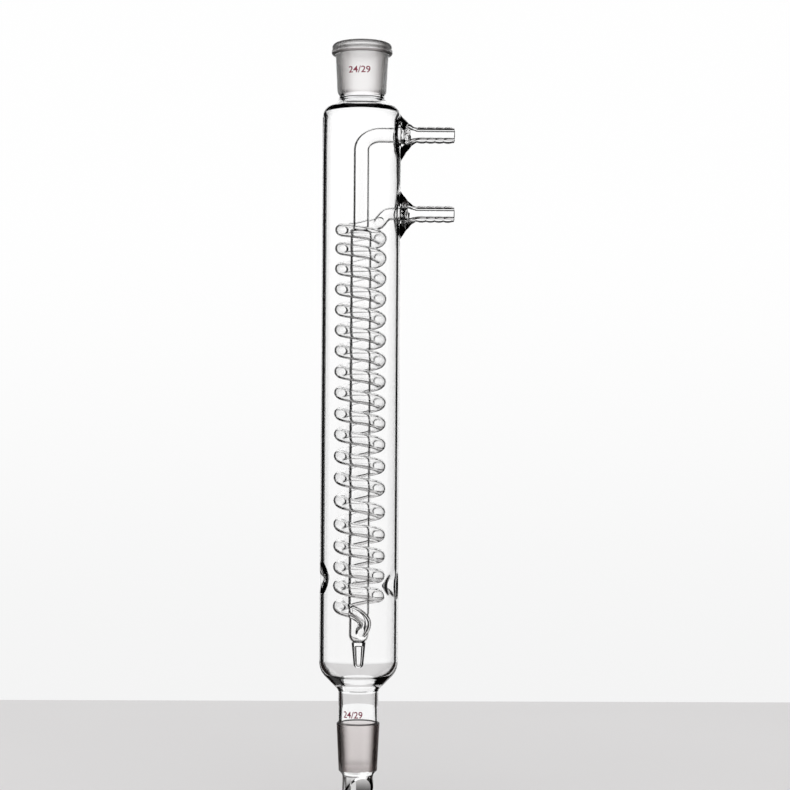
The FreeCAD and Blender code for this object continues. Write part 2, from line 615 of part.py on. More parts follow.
def join(document, name, pieces):
    """Fuse pieces into one solid."""
    fusion = document.addObject("Part::MultiFuse", name)
    fusion.Shapes = pieces
    return fusion


def take_away(document, name, base, tools):
    """Cut tools out of a base, one after another."""
    for number, tool in enumerate(tools, start=1):
        cut = document.addObject("Part::Cut", f"{name}_{number}")
        cut.Base = base
        cut.Tool = tool
        base = cut
    return base


def make_condenser(document, sheet):
    """Join the outer glass, hollow its seals, hang the inner glass in it and open the water way."""
    arms = (("upper", "upper_arm_height", "return_outer", "return_inner"),
            ("lower", "lower_arm_height", "coil_tube_outer", "coil_tube_inner"))
    outer = [make_jacket(document, sheet)]
    pockets = []
    bores = []
    for name, height, tube, inner in arms:
        outer.append(make_connector(document, sheet, name, height))
        outer.append(make_flare(document, sheet, name, height))
        pockets.append(add_turned(document, sheet, f"{name}_pocket", height,
                                  "jacket_inner - jacket_wall / 2", "seal_reach - seal_depth / 4",
                                  "pocket_radius", f"{tube} - jacket_wall / 4"))
        bores.append(add_turned(document, sheet, f"{name}_widening", height,
                                "seal_reach - seal_depth / 2", "flare_end", inner, "arm_inner"))
        bores.append(add_turned(document, sheet, f"{name}_bore", height,
                                "flare_end - arm_inner", "arm_reach + arm_inner", "arm_inner"))
    return_tube, return_bore = make_return_tube(document, sheet)
    core_tube, core_space = make_core(document, sheet)
    drip_rod, drip_hollow = make_drip_rod(document, sheet)
    coil_tube, coil_bore = make_coil(document, sheet)

    shell = take_away(document, "shell", join(document, "outer_glass", outer), pockets)
    glass = join(document, "glass", [shell, return_tube, core_tube, drip_rod, coil_tube])
    water_way = [return_bore, core_space, coil_bore, drip_hollow] + bores
    return take_away(document, "open_glass", glass, water_way)


def check(document, finished):
    """Stop where an object failed, or where the finished piece isn't one closed valid solid."""
    for thing in document.Objects:
        failed = {"Invalid", "Error"} & set(thing.State)
        if failed:
            raise RuntimeError(f"{thing.Label}: {sorted(failed)}")
    shape = finished.Shape
    if shape.isNull() or not shape.isValid() or len(shape.Solids) != 1:
        raise RuntimeError(f"{finished.Label}: {len(shape.Solids)} solids, valid {shape.isValid()}")


def main():
    """Build the document, check it and write the glass as a STEP file."""
    os.makedirs("parts", exist_ok=True)
    document = FreeCAD.newDocument("condenser")
    sheet = make_sheet(document)
    condenser = make_condenser(document, sheet)
    condenser.Label = NODE
    document.recompute()
    check(document, condenser)
    condenser.Shape.exportStep(f"parts/{NODE}.step")
    print(f"{NODE}: {condenser.Shape.Volume / 1000:.1f} cm3 of glass")


main()
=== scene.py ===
# %% [markdown]
# # A coil reflux condenser in Blender
#
# The object is one piece of lamp-blown borosilicate glass: a jacket, a water coil sealed inside it,
# a ground socket on top, a ground cone with a slanted drip tip below, and two hose connectors.
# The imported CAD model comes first. It is the fixed frame: every piece made below stands where it stands.

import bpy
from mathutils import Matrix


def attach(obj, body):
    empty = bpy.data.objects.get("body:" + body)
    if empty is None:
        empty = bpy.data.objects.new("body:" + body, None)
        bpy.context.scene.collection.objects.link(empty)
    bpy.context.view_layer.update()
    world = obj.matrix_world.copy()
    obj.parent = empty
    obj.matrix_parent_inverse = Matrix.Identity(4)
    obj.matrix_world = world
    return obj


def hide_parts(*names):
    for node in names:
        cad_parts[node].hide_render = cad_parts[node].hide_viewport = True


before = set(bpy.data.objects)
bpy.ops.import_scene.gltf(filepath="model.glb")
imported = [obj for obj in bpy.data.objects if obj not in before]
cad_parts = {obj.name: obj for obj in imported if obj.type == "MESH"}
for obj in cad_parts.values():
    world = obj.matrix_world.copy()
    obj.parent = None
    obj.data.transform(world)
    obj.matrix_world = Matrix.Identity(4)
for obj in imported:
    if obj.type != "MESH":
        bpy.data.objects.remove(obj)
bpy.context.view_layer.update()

# %% [markdown]
# Lengths are written in millimetres, as a glassblower reads them off a drawing, and turned into
# Blender's metres when a mesh is made. Angles are in degrees.

# %% Tools used all the way through
import math

import bmesh
import bpy
import numpy as np
from mathutils import Matrix, Vector

MM = 0.001


def tan(degrees):
    return math.tan(math.radians(degrees))


def polar(radius, degrees):
    """A place at a radius and an azimuth about the main axis."""
    return radius * math.cos(math.radians(degrees)), radius * math.sin(math.radians(degrees))


def placed(name, data):
    """A new object in the scene, at the origin."""
    thing = bpy.data.objects.new(name, data)
    bpy.context.scene.collection.objects.link(thing)
    return thing


def worked_mesh(thing):
    """The mesh that an object has after its modifiers."""
    return bpy.data.meshes.new_from_object(thing.evaluated_get(bpy.context.evaluated_depsgraph_get()))


def make_object(name, points, faces):
    """A mesh object at the origin, from points in millimetres, with its faces turned outwards."""
    mesh = bpy.data.meshes.new(name)
    mesh.from_pydata([tuple(MM * value for value in point) for point in points], [], faces)
    shell = bmesh.new()
    shell.from_mesh(mesh)
    bmesh.ops.recalc_face_normals(shell, faces=shell.faces)
    shell.to_mesh(mesh)
    shell.free()
    return placed(name, mesh)


# %% [markdown]
# ## Turned glass
#
# Most of the condenser is turned: the glass spins in a lathe's chucks while a flame softens it.
# So its outline, in radius and height, says it all. Corners worked in a flame are never sharp.
# `rounded` puts an arc at each corner that has a radius, and `turned` spins the outline.

# %% Outlines with rounded corners
def rounded(corners, step=0.5):
    """The points of an outline through corners (radius, height, rounding): a rounding of 0 stays sharp."""
    points = []
    count = len(corners)
    for index, (x, y, rounding) in enumerate(corners):
        here = np.array((x, y), float)
        if not rounding:
            points.append(here)
            continue
        before = np.array(corners[index - 1][:2], float) - here
        after = np.array(corners[(index + 1) % count][:2], float) - here
        before /= np.linalg.norm(before)
        after /= np.linalg.norm(after)
        half = math.acos(np.clip(before @ after, -1, 1)) / 2
        middle = here + (before + after) / np.linalg.norm(before + after) * rounding / math.sin(half)
        start = here + before * rounding / math.tan(half) - middle
        end = here + after * rounding / math.tan(half) - middle
        sweep = math.pi - 2 * half
        steps = max(3, round(sweep * rounding / step))
        for share in np.linspace(0, 1, steps + 1):
            mixed = start * math.sin((1 - share) * sweep) + end * math.sin(share * sweep)
            points.append(middle + mixed / math.sin(sweep))
    return [tuple(point) for point in points]


def arc(start, end, radius, steps):
    """Points of an arc from start to end, which bulges to the right of the way there."""
    start, end = np.array(start, float), np.array(end, float)
    chord = end - start
    half = np.linalg.norm(chord) / 2
    side = np.array((-chord[1], chord[0])) / (2 * half)
    middle = (start + end) / 2 + side * math.sqrt(radius ** 2 - half ** 2)
    first = math.atan2(*(start - middle)[::-1])
    last = math.atan2(*(end - middle)[::-1])
    if last < first:
        last += 2 * math.pi
    return [tuple(middle + radius * np.array((math.cos(angle), math.sin(angle))))
            for angle in np.linspace(first, last, steps + 1)]


# %% Spinning an outline
def turned(name, outline, columns=64, along_x=False, height=0.0):
    """Spin an outline of (radius, height) about the main axis, or about a connector's axis at a height.

    An outline that starts or ends on the axis closes there in a point. Any other one is a closed ring.
    Columns of points are given as their number, or as a list of azimuths.
    """
    even = isinstance(columns, int)
    angles = np.linspace(0, 2 * math.pi, columns, endpoint=False) if even else np.radians(columns)
    columns = len(angles)
    points, rings = [], []
    for radius, level in outline:
        rings.append((len(points), radius > 1e-9))
        for angle in angles if radius > 1e-9 else angles[:1]:
            across, over = radius * math.cos(angle), radius * math.sin(angle)
            points.append((level, across, height + over) if along_x else (across, over, level))
    faces = []
    closed = rings[0][1] and rings[-1][1]
    pairs = zip(rings, rings[1:] + rings[:1]) if closed else zip(rings, rings[1:])
    for (low, low_open), (high, high_open) in pairs:
        for column in range(columns):
            following = (column + 1) % columns
            if low_open and high_open:
                faces.append((low + column, low + following, high + following, high + column))
            elif low_open:
                faces.append((low + column, low + following, high))
            elif high_open:
                faces.append((low, high + following, high + column))
    return make_object(name, points, faces)


# %% [markdown]
# ## The outer glass
#
# One outline carries the drip tip, cone, neck, shoulders, jacket, socket and beaded rim, inside and out.
# The wall is 2 mm thick in the jacket and less in the lower neck. The two ground joints taper by 1 in 10.
# The shoulders' wall thickens towards the necks, by a small wedge between its faces: worked glass gathers there.

# %% Sizes of the outer glass
JACKET_OUTER, JACKET_INNER = 22.0, 20.0
LOWER_NECK_OUTER, LOWER_NECK_INNER, LOWER_NECK_LENGTH = 11.15, 9.55, 18.5
LOWER_SLOPE, UPPER_SLOPE, LOWER_WEDGE, UPPER_WEDGE = 45.5, 34.8, 7.2, 4.0
LOWER_ROUNDING, UPPER_ROUNDING, NECK_ROUNDING = 11.5, 7.0, 3.0
UPPER_NECK_OUTER, UPPER_NECK_INNER = 12.6, 10.5
JACKET_LENGTH, SOCKET_LENGTH, LEDGE_HEIGHT = 312.6, 28.4, 0.85
SOCKET_FOOT, SOCKET_WIDE, BEAD_OUTER, BEAD_HEIGHT, BEAD_MIDDLE = 13.8, 14.9, 16.6, 6.5, 3.2
JOINT_RADIUS, CONE_SMALL, CONE_LENGTH, CONE_INNER = 12.0, 10.7, 26.0, 8.4
TIP_OUTER, TIP_INNER, TIP_TOP, TIP_BOTTOM = 8.65, 7.15, -28.0, -50.0

wall = JACKET_OUTER - JACKET_INNER
lower_corner = LOWER_NECK_LENGTH + (JACKET_OUTER - LOWER_NECK_OUTER) * tan(LOWER_SLOPE)
upper_corner = lower_corner + JACKET_LENGTH
lower_inside = lower_corner - wall * tan(LOWER_SLOPE) + wall / math.cos(math.radians(LOWER_SLOPE))
upper_inside = upper_corner + wall * tan(UPPER_SLOPE) - wall / math.cos(math.radians(UPPER_SLOPE))
lower_neck_inside = lower_inside - (JACKET_INNER - LOWER_NECK_INNER) * tan(LOWER_SLOPE - LOWER_WEDGE)
upper_neck_inside = upper_inside + (JACKET_INNER - UPPER_NECK_INNER) * tan(UPPER_SLOPE - UPPER_WEDGE)
upper_neck_foot = upper_corner + (JACKET_OUTER - UPPER_NECK_OUTER) * tan(UPPER_SLOPE)
socket_bottom = upper_neck_foot + 3.0
socket_top = socket_bottom + SOCKET_LENGTH
bead_bottom = socket_top - BEAD_HEIGHT
bead_middle = bead_bottom + BEAD_MIDDLE
print(f"shoulders at {lower_corner:.1f} and {upper_corner:.1f} mm, "
      f"socket from {socket_bottom:.1f} to {socket_top:.1f} mm")


# %% [markdown]
# Three dimples are pressed into the hot jacket near its lower end, to keep the coil central. A dimple is a soft
# dent, so it is made by moving points inwards, which a spun mesh can do if it has enough points there: more
# columns near each dimple's azimuth, and more rings near its height. The last one dents only the inner face.

# %% The jacket's wall with its dimples
DIMPLE_HEIGHT, DIMPLE_ZONE, DIMPLE_NOSE = 78.5, 12.5, 0.12
DIMPLES = (  # azimuth, height, depth, spread, how pointed, how much of it the outside takes
    (-28.0, 77.0, 5.6, 9.4, 2.3, 1.0),
    (101.0, 77.0, 5.6, 9.4, 2.3, 1.0),
    (193.0, 81.0, 3.5, 8.6, 1.0, 0.0),
)


def wall_columns():
    """Azimuths of the columns of points: close together at the dimples and wider apart between them."""
    fine = 27.0
    starts = [dimple[0] for dimple in DIMPLES]
    azimuths = []
    for start, following in zip(starts, starts[1:] + [starts[0] + 360]):
        azimuths += list(np.linspace(start - fine, start + fine, 27, endpoint=False))
        azimuths += list(np.linspace(start + fine, following - fine, 17, endpoint=False))
    return azimuths


def level_rings(radius, low, high):
    """Rings up a straight stretch of jacket, close together beside the dimples."""
    dimple = np.linspace(DIMPLE_HEIGHT - DIMPLE_ZONE, DIMPLE_HEIGHT + DIMPLE_ZONE, 29)
    plain = [level for level in np.arange(low + 12, high - 6, 18.0)
             if abs(level - DIMPLE_HEIGHT) > DIMPLE_ZONE + 4]
    return [(radius, level) for level in sorted([*dimple, *plain])]


def outer_outline():
    """The outside from the drip tip up to the rim."""
    neck = rounded([
        (JOINT_RADIUS, 0, 0),
        (LOWER_NECK_OUTER, LEDGE_HEIGHT, 0),
        (LOWER_NECK_OUTER, LOWER_NECK_LENGTH, NECK_ROUNDING),
        (JACKET_OUTER, lower_corner, LOWER_ROUNDING),
        (JACKET_OUTER, upper_corner, 0),
    ])[1:-1]
    shoulder = rounded([
        (JACKET_OUTER, lower_corner, 0),
        (JACKET_OUTER, upper_corner, UPPER_ROUNDING),
        (UPPER_NECK_OUTER, upper_neck_foot, NECK_ROUNDING),
        (UPPER_NECK_OUTER, socket_bottom - 0.75, 1.8),
        (SOCKET_FOOT, socket_bottom + 0.75, 3.2),
        (SOCKET_WIDE, bead_bottom, 0),
    ])[1:-1]
    bead = arc((SOCKET_WIDE, bead_bottom), (BEAD_OUTER, bead_middle), 1.87, 11)[:-1]
    bead += arc((BEAD_OUTER, bead_middle), (15.2, socket_top), 2.35, 11)[1:]
    cone = [(JOINT_RADIUS - 0.1 * drop / 2, -drop) for drop in np.linspace(CONE_LENGTH, 0, 6)]
    tip = rounded([(TIP_INNER, TIP_BOTTOM, 0), (TIP_OUTER, TIP_BOTTOM, 0), (TIP_OUTER, TIP_TOP - 0.4, 1.2),
                   (CONE_SMALL, -CONE_LENGTH, 0)])[:-1]
    straight = level_rings(JACKET_OUTER, neck[-1][1], shoulder[0][1])
    return tip + cone + neck + straight + shoulder + bead


def inner_outline():
    """The inside from the rim down to the drip tip."""
    top = rounded([
        (12.6, socket_top, 0),
        (11.94, socket_top - 1.2, 0),
        (10.55, socket_bottom, 0),
        (UPPER_NECK_INNER, socket_bottom - 1.5, 0),
        (UPPER_NECK_INNER, upper_neck_inside, 1.5),
        (JACKET_INNER, upper_inside - 0.3, 1.0),
        (JACKET_INNER, lower_corner, 0),
    ])[:-1]
    bottom = rounded([
        (JACKET_INNER, upper_corner, 0),
        (JACKET_INNER, lower_inside, LOWER_ROUNDING - wall),
        (LOWER_NECK_INNER + 0.12, lower_neck_inside, 2.5),
        (LOWER_NECK_INNER - 0.12, 9.5, 4.0),
        (LOWER_NECK_INNER + 0.15, 1.2, 1.0),
        (CONE_INNER, -CONE_LENGTH, 2.0),
        (TIP_INNER, TIP_TOP - 1.0, 2.0),
        (TIP_INNER, TIP_BOTTOM, 0),
    ])[1:-1]
    straight = level_rings(JACKET_INNER, bottom[0][1], top[-1][1])[::-1]
    return top + straight + bottom


def press_dimples(thing):
    """Move points of the straight jacket inwards, most at a dimple's middle and not at all past its spread."""
    for point in thing.data.vertices:
        x, y, z = (value / MM for value in point.co)
        radius = math.hypot(x, y)
        if abs(z - DIMPLE_HEIGHT) > DIMPLE_ZONE or radius < JACKET_INNER - 0.1:
            continue
        for azimuth, height, depth, spread, power, outside in DIMPLES:
            turn = (math.degrees(math.atan2(y, x)) - azimuth + 180) % 360 - 180
            way = math.hypot(math.radians(turn) * JACKET_OUTER, z - height) / spread
            if way < 1:
                blunt = math.hypot(way, DIMPLE_NOSE) - DIMPLE_NOSE
                blunt /= math.hypot(1, DIMPLE_NOSE) - DIMPLE_NOSE
                share = outside if radius > (JACKET_INNER + JACKET_OUTER) / 2 else 1.0
                inwards = 1 - share * depth * (1 - blunt) ** power / radius
                point.co.x *= inwards
                point.co.y *= inwards


wall_glass = turned("wall_glass", outer_outline() + inner_outline(), wall_columns())
press_dimples(wall_glass)
print(f"wall: {len(wall_glass.data.polygons)} faces")

# %% [markdown]
# The drip tip ends in a slanted cut, so that drops run to its lowest point and fall from there.
# The cut is a wedge that a later step takes away.

# %% The wedge that opens the drip tip
TIP_SLANT, TIP_FACING = 51.8, -70.0


def slanted_wedge():
    """Everything under a sloping plane through the tip's lowest point."""
    reach = 2 * TIP_OUTER
    low = TIP_BOTTOM - reach
    side = [(-TIP_OUTER, TIP_BOTTOM), (-TIP_OUTER, low), (reach, low),
            (reach, TIP_BOTTOM + 3 * TIP_OUTER * tan(TIP_SLANT))]
    points = []
    for depth in (-reach, reach):
        for along, level in side:
            x, y = polar(along, TIP_FACING)
            across_x, across_y = polar(depth, TIP_FACING + 90)
            points.append((x + across_x, y + across_y, level))
    faces = [(0, 1, 2, 3), (4, 5, 6, 7), (0, 1, 5, 4), (1, 2, 6, 5), (2, 3, 7, 6), (3, 0, 4, 7)]
    return make_object("tip_wedge", points, faces)


tip_wedge = slanted_wedge()

# %% [markdown]
# ## Tubes along a path, with Geometry Nodes
#
# Drawn tube is bent in the flame along a line: the coil, the return tube, and the water way in both.
# A node tree does this for any line: it carries a circle along it and closes the ends. Its sizes are named inputs.

# %% A node tree that makes a tube
def new_tree(name, inputs):
    """An empty Geometry Nodes tree that takes a geometry and the named inputs, with its two end nodes."""
    tree = bpy.data.node_groups.new(name, "GeometryNodeTree")
    tree.interface.new_socket("Geometry", in_out="INPUT", socket_type="NodeSocketGeometry")
    for label, kind, value in inputs:
        socket = tree.interface.new_socket(label, in_out="INPUT", socket_type=kind)
        if value is not None:
            socket.default_value = value
    tree.interface.new_socket("Geometry", in_out="OUTPUT", socket_type="NodeSocketGeometry")
    return tree, tree.nodes.new("NodeGroupInput"), tree.nodes.new("NodeGroupOutput")


def finish_tree(tree, given, result, socket):
    """End a tree as the export needs it: instances made real, and one material set."""
    real = tree.nodes.new("GeometryNodeRealizeInstances")
    paint = tree.nodes.new("GeometryNodeSetMaterial")
    tree.links.new(socket, real.inputs["Geometry"])
    tree.links.new(real.outputs["Geometry"], paint.inputs["Geometry"])
    tree.links.new(given.outputs["Material"], paint.inputs["Material"])
    tree.links.new(paint.outputs["Geometry"], result.inputs["Geometry"])


def tube_tree():
    """Carry a circle along the given line and close both ends."""
    tree, given, result = new_tree("glass_tube", [
        ("Radius", "NodeSocketFloat", 0.001),
        ("Around", "NodeSocketInt", 24),
        ("Material", "NodeSocketMaterial", None),
    ])
    circle = tree.nodes.new("GeometryNodeCurvePrimitiveCircle")
    sweep = tree.nodes.new("GeometryNodeCurveToMesh")
    sweep.inputs["Fill Caps"].default_value = True
    tree.links.new(given.outputs["Around"], circle.inputs["Resolution"])
    tree.links.new(given.outputs["Radius"], circle.inputs["Radius"])
    tree.links.new(given.outputs["Geometry"], sweep.inputs["Curve"])
    tree.links.new(circle.outputs["Curve"], sweep.inputs["Profile Curve"])
    finish_tree(tree, given, result, sweep.outputs["Mesh"])
    return tree


def grown(name, base, tree, **sizes):
    """Run a node tree on a base, with its inputs by name, and keep the result as a plain, closed mesh."""
    modifier = base.modifiers.new(tree.name, "NODES")
    modifier.node_group = tree
    for item in tree.interface.items_tree:
        if item.in_out == "INPUT" and item.name in sizes:
            modifier[item.identifier] = sizes[item.name]
    mesh = worked_mesh(base)
    base.modifiers.remove(modifier)
    shell = bmesh.new()
    shell.from_mesh(mesh)
    bmesh.ops.remove_doubles(shell, verts=shell.verts, dist=1e-7)
    bmesh.ops.recalc_face_normals(shell, faces=shell.faces)
    shell.to_mesh(mesh)
    shell.free()
    mesh.name = name
    return placed(name, mesh)


tubes = tube_tree()


def drawn_tube(name, places, radius, around):
    """A round bar of glass, or of the space in it, along places in millimetres."""
    line = bpy.data.curves.new(name + "_line", "CURVE")
    line.dimensions = "3D"
    spline = line.splines.new("POLY")
    spline.points.add(len(places) - 1)
    spline.points.foreach_set("co", np.column_stack([np.array(places) * MM, np.ones(len(places))]).ravel())
    base = placed(name + "_line", line)
    bar = grown(name, base, tubes, Radius=radius * MM, Around=around)
    bpy.data.objects.remove(base)
    return bar


# %% [markdown]
# ## The coil's line
#
# The coil is wound by hand on a mandrel, left-handed seen from outside, so its turns aren't quite even. Its line
# is given by the heights at which it passes the left side, and a smooth curve runs through those heights.
# At the top a lead comes in level from the lower connector. At the bottom the tube swings past the front and
# down in an S-bend into the bulb. Tube thickens where it is bent that tightly, so the bend has a narrower bore.

# %% The line of the coil and its two leads
UPPER_ARM, LOWER_ARM, SEAL_REACH = 329.041, 284.541, 24.5
COIL_RADIUS, COIL_TUBE, COIL_BORE = 11.0, 3.65, 2.8
BEND_BORE, BEND_POINTS, COIL_POINTS = 1.9, 20, 868
BEND_FRONT, BEND_DROP, BULB_ENTRY = (2.9, -9.7), 5.8, (1.1, -2.2, 49.44)
LEFT_CROSSINGS = (275.4, 265.0, 253.6, 242.2, 230.7, 219.3, 207.9, 196.1, 184.3, 172.6,
                  161.0, 149.0, 136.8, 124.1, 110.9, 98.9, 87.2, 76.6, 65.2)
ENTRY_AZIMUTH, EXIT_TURN = 18.0, 62.0


def smooth_through(places, first_heading, last_heading, step):
    """A smooth line through places, which leaves and arrives along the two headings."""
    places = [np.array(place, float) for place in places]
    spans = [np.linalg.norm(b - a) for a, b in zip(places, places[1:])]
    headings = [np.array(first_heading, float)]
    if len(places) == 3:
        a, b = spans
        pull = 3 * (b * (places[1] - places[0]) / a + a * (places[2] - places[1]) / b)
        headings.append((pull - b * np.array(first_heading) - a * np.array(last_heading)) / (2 * (a + b)))
    headings.append(np.array(last_heading, float))
    points = []
    for start, end, leave, arrive, span in zip(places, places[1:], headings, headings[1:], spans):
        steps = max(6, round(span / step))
        for t in np.linspace(0, 1, steps, endpoint=False):
            points.append((2 * t ** 3 - 3 * t ** 2 + 1) * start + (t ** 3 - 2 * t ** 2 + t) * span * leave
                          + (3 * t ** 2 - 2 * t ** 3) * end + (t ** 3 - t ** 2) * span * arrive)
    return points + [places[-1]]


def coil_height(turn):
    """Height of the coil's line after a number of turns from the first left crossing."""
    heights = np.array(LEFT_CROSSINGS)
    slopes = np.gradient(heights)
    index = int(np.clip(math.floor(turn), 0, len(heights) - 2))
    t = turn - index
    if t < 0 or t > 1:
        return float(heights[0 if t < 0 else -1] + slopes[0 if t < 0 else -1] * (t if t < 0 else t - 1))
    return float((2 * t ** 3 - 3 * t ** 2 + 1) * heights[index] + (t ** 3 - 2 * t ** 2 + t) * slopes[index]
                 + (3 * t ** 2 - 2 * t ** 3) * heights[index + 1] + (t ** 3 - t ** 2) * slopes[index + 1])


def on_coil(turn):
    """A place on the coil, and the way the water runs there. A whole turn is at the left, azimuth 180."""
    azimuth = math.radians(180 + 360 * turn)
    place = np.array((COIL_RADIUS * math.cos(azimuth), COIL_RADIUS * math.sin(azimuth), coil_height(turn)))
    fall = (coil_height(turn + 0.01) - coil_height(turn - 0.01)) / (0.02 * 2 * math.pi * COIL_RADIUS)
    heading = np.array((-math.sin(azimuth), math.cos(azimuth), fall))
    return place, heading / np.linalg.norm(heading)


def coil_line():
    """All of the coil's centre line, from the lower seal to the bulb."""
    first = -(180 - ENTRY_AZIMUTH) / 360
    last = len(LEFT_CROSSINGS) - 1 + EXIT_TURN / 360
    top, top_heading = on_coil(first)
    foot, foot_heading = on_coil(last)
    points = [np.array((x, 0, LOWER_ARM)) for x in (SEAL_REACH + 0.4, 22.5, 20.5, 18.0)]
    points += smooth_through([(15.9, 0, LOWER_ARM), top], (-1, 0, 0), top_heading, 1.0)[:-1]
    points += [on_coil(turn)[0] for turn in np.linspace(first, last, COIL_POINTS)[:-1]]
    points += smooth_through([foot, (*BEND_FRONT, foot[2] - BEND_DROP), BULB_ENTRY],
                             foot_heading, (-0.1, 0.72, -0.68), 1.0)
    return points


coil_places = coil_line()
coil_tube = drawn_tube("coil_tube", coil_places, COIL_TUBE, 28)
bend_start = len(coil_places) - BEND_POINTS
coil_bore = drawn_tube("coil_bore", coil_places[:bend_start], COIL_BORE, 24)
bend_bore = drawn_tube("bend_bore", coil_places[bend_start - 2:], BEND_BORE, 24)
coil_length = sum(np.linalg.norm(b - a) for a, b in zip(coil_places, coil_places[1:]))
print(f"coil: {coil_length / 1000:.2f} m of tube, {len(coil_tube.data.polygons)} faces")

# %% [markdown]
# ## Return tube, core tube, bulb and drip rod
#
# The water leaves the coil into a closed bulb, rises in the straight core tube and crosses to the upper
# connector in a bent return tube. Below the bulb hangs a hollow drip rod. These are a bent tube and turned pieces.

# %% The return tube
RETURN_TUBE, RETURN_BORE, RETURN_BEND, RETURN_REACH = 4.5, 3.6, 8.6, 10.6
CORE_OUTER, CORE_WALL, CORE_TOP, CORE_BOTTOM = 6.05, 1.05, 277.04, 61.04
BULB_OUTER, BULB_BOTTOM = 5.6, 43.84


def return_line():
    """Across from the upper seal, round the bend and down the main axis."""
    bend = [(RETURN_REACH * (1 - math.sin(a)), 0, UPPER_ARM - RETURN_BEND * (1 - math.cos(a)))
            for a in np.linspace(0, math.pi / 2, 29)]
    return [(SEAL_REACH + 0.4, 0, UPPER_ARM), (20, 0, UPPER_ARM), (14, 0, UPPER_ARM)] + bend + [
        (0, 0, 310), (0, 0, 300), (0, 0, 288), (0, 0, CORE_TOP - CORE_WALL)]


return_tube = drawn_tube("return_tube", return_line(), RETURN_TUBE, 40)
return_bore = drawn_tube("return_bore", return_line(), RETURN_BORE, 36)


# %% The core tube with its bulb, and the drip rod
def core_outline(inset):
    """The core tube and its bulb, all of it a wall thinner where an inset is given."""
    bulb = BULB_OUTER - inset
    middle = BULB_BOTTOM + BULB_OUTER
    round_end = [(bulb * math.sin(a), middle - bulb * math.cos(a)) for a in np.linspace(0, math.pi / 2, 14)]
    round_end[0] = (0, middle - bulb)
    shoulder = CORE_TOP - inset - (CORE_OUTER - RETURN_TUBE)
    rise = rounded([
        (0, BULB_BOTTOM, 0),
        (bulb, CORE_BOTTOM - 2.4, 2.0),
        (CORE_OUTER - inset, CORE_BOTTOM + 0.4, 2.0),
        (CORE_OUTER - inset, shoulder, 1.5),
        (RETURN_TUBE - inset, CORE_TOP - inset, 0),
        (0, CORE_TOP - inset, 0),
    ], step=0.4)[1:]
    return round_end + rise


def rod_outline():
    """The drip rod, tapered, with a round end."""
    return [(0, BULB_BOTTOM + 1.05)] + rounded([
        (3.95, BULB_BOTTOM + 1.05, 0), (2.5, 29.64, 2.3), (0, 29.64, 0)], step=0.3)


def hollow_outline():
    """The space in the drip rod, from its blunt tip up to just below the bulb."""
    tip = [(0, 30.8), (0.5, 30.95), (0.9, 31.4), (1.1, 32.2), (1.25, 33.5)]
    return tip + [(1.75, BULB_BOTTOM - 1.2), (1.2, BULB_BOTTOM - 0.7), (0, BULB_BOTTOM - 0.5)]


core_tube = turned("core_tube", core_outline(0), 48)
core_space = turned("core_space", core_outline(CORE_WALL), 40)
drip_rod = turned("drip_rod", rod_outline(), 36)
drip_hollow = turned("drip_hollow", hollow_outline(), 28)

# %% [markdown]
# ## Hose connectors
#
# A hose grips the soft ridges of its connector. They repeat, so a node tree makes them: it walks along a straight
# line, sets the radius at each point from how far it is into its ridge, and carries a circle along.

# %% A node tree for a ridged stem
STEM_START, STEM_END, STEM_RADIUS = 20.8, 52.2, 4.3
RIDGE_PITCH, RIDGE_HEIGHT, RIDGES, RIDGE_LAND, END_POLISH = 4.9, 0.45, 4, 1.2, 0.5


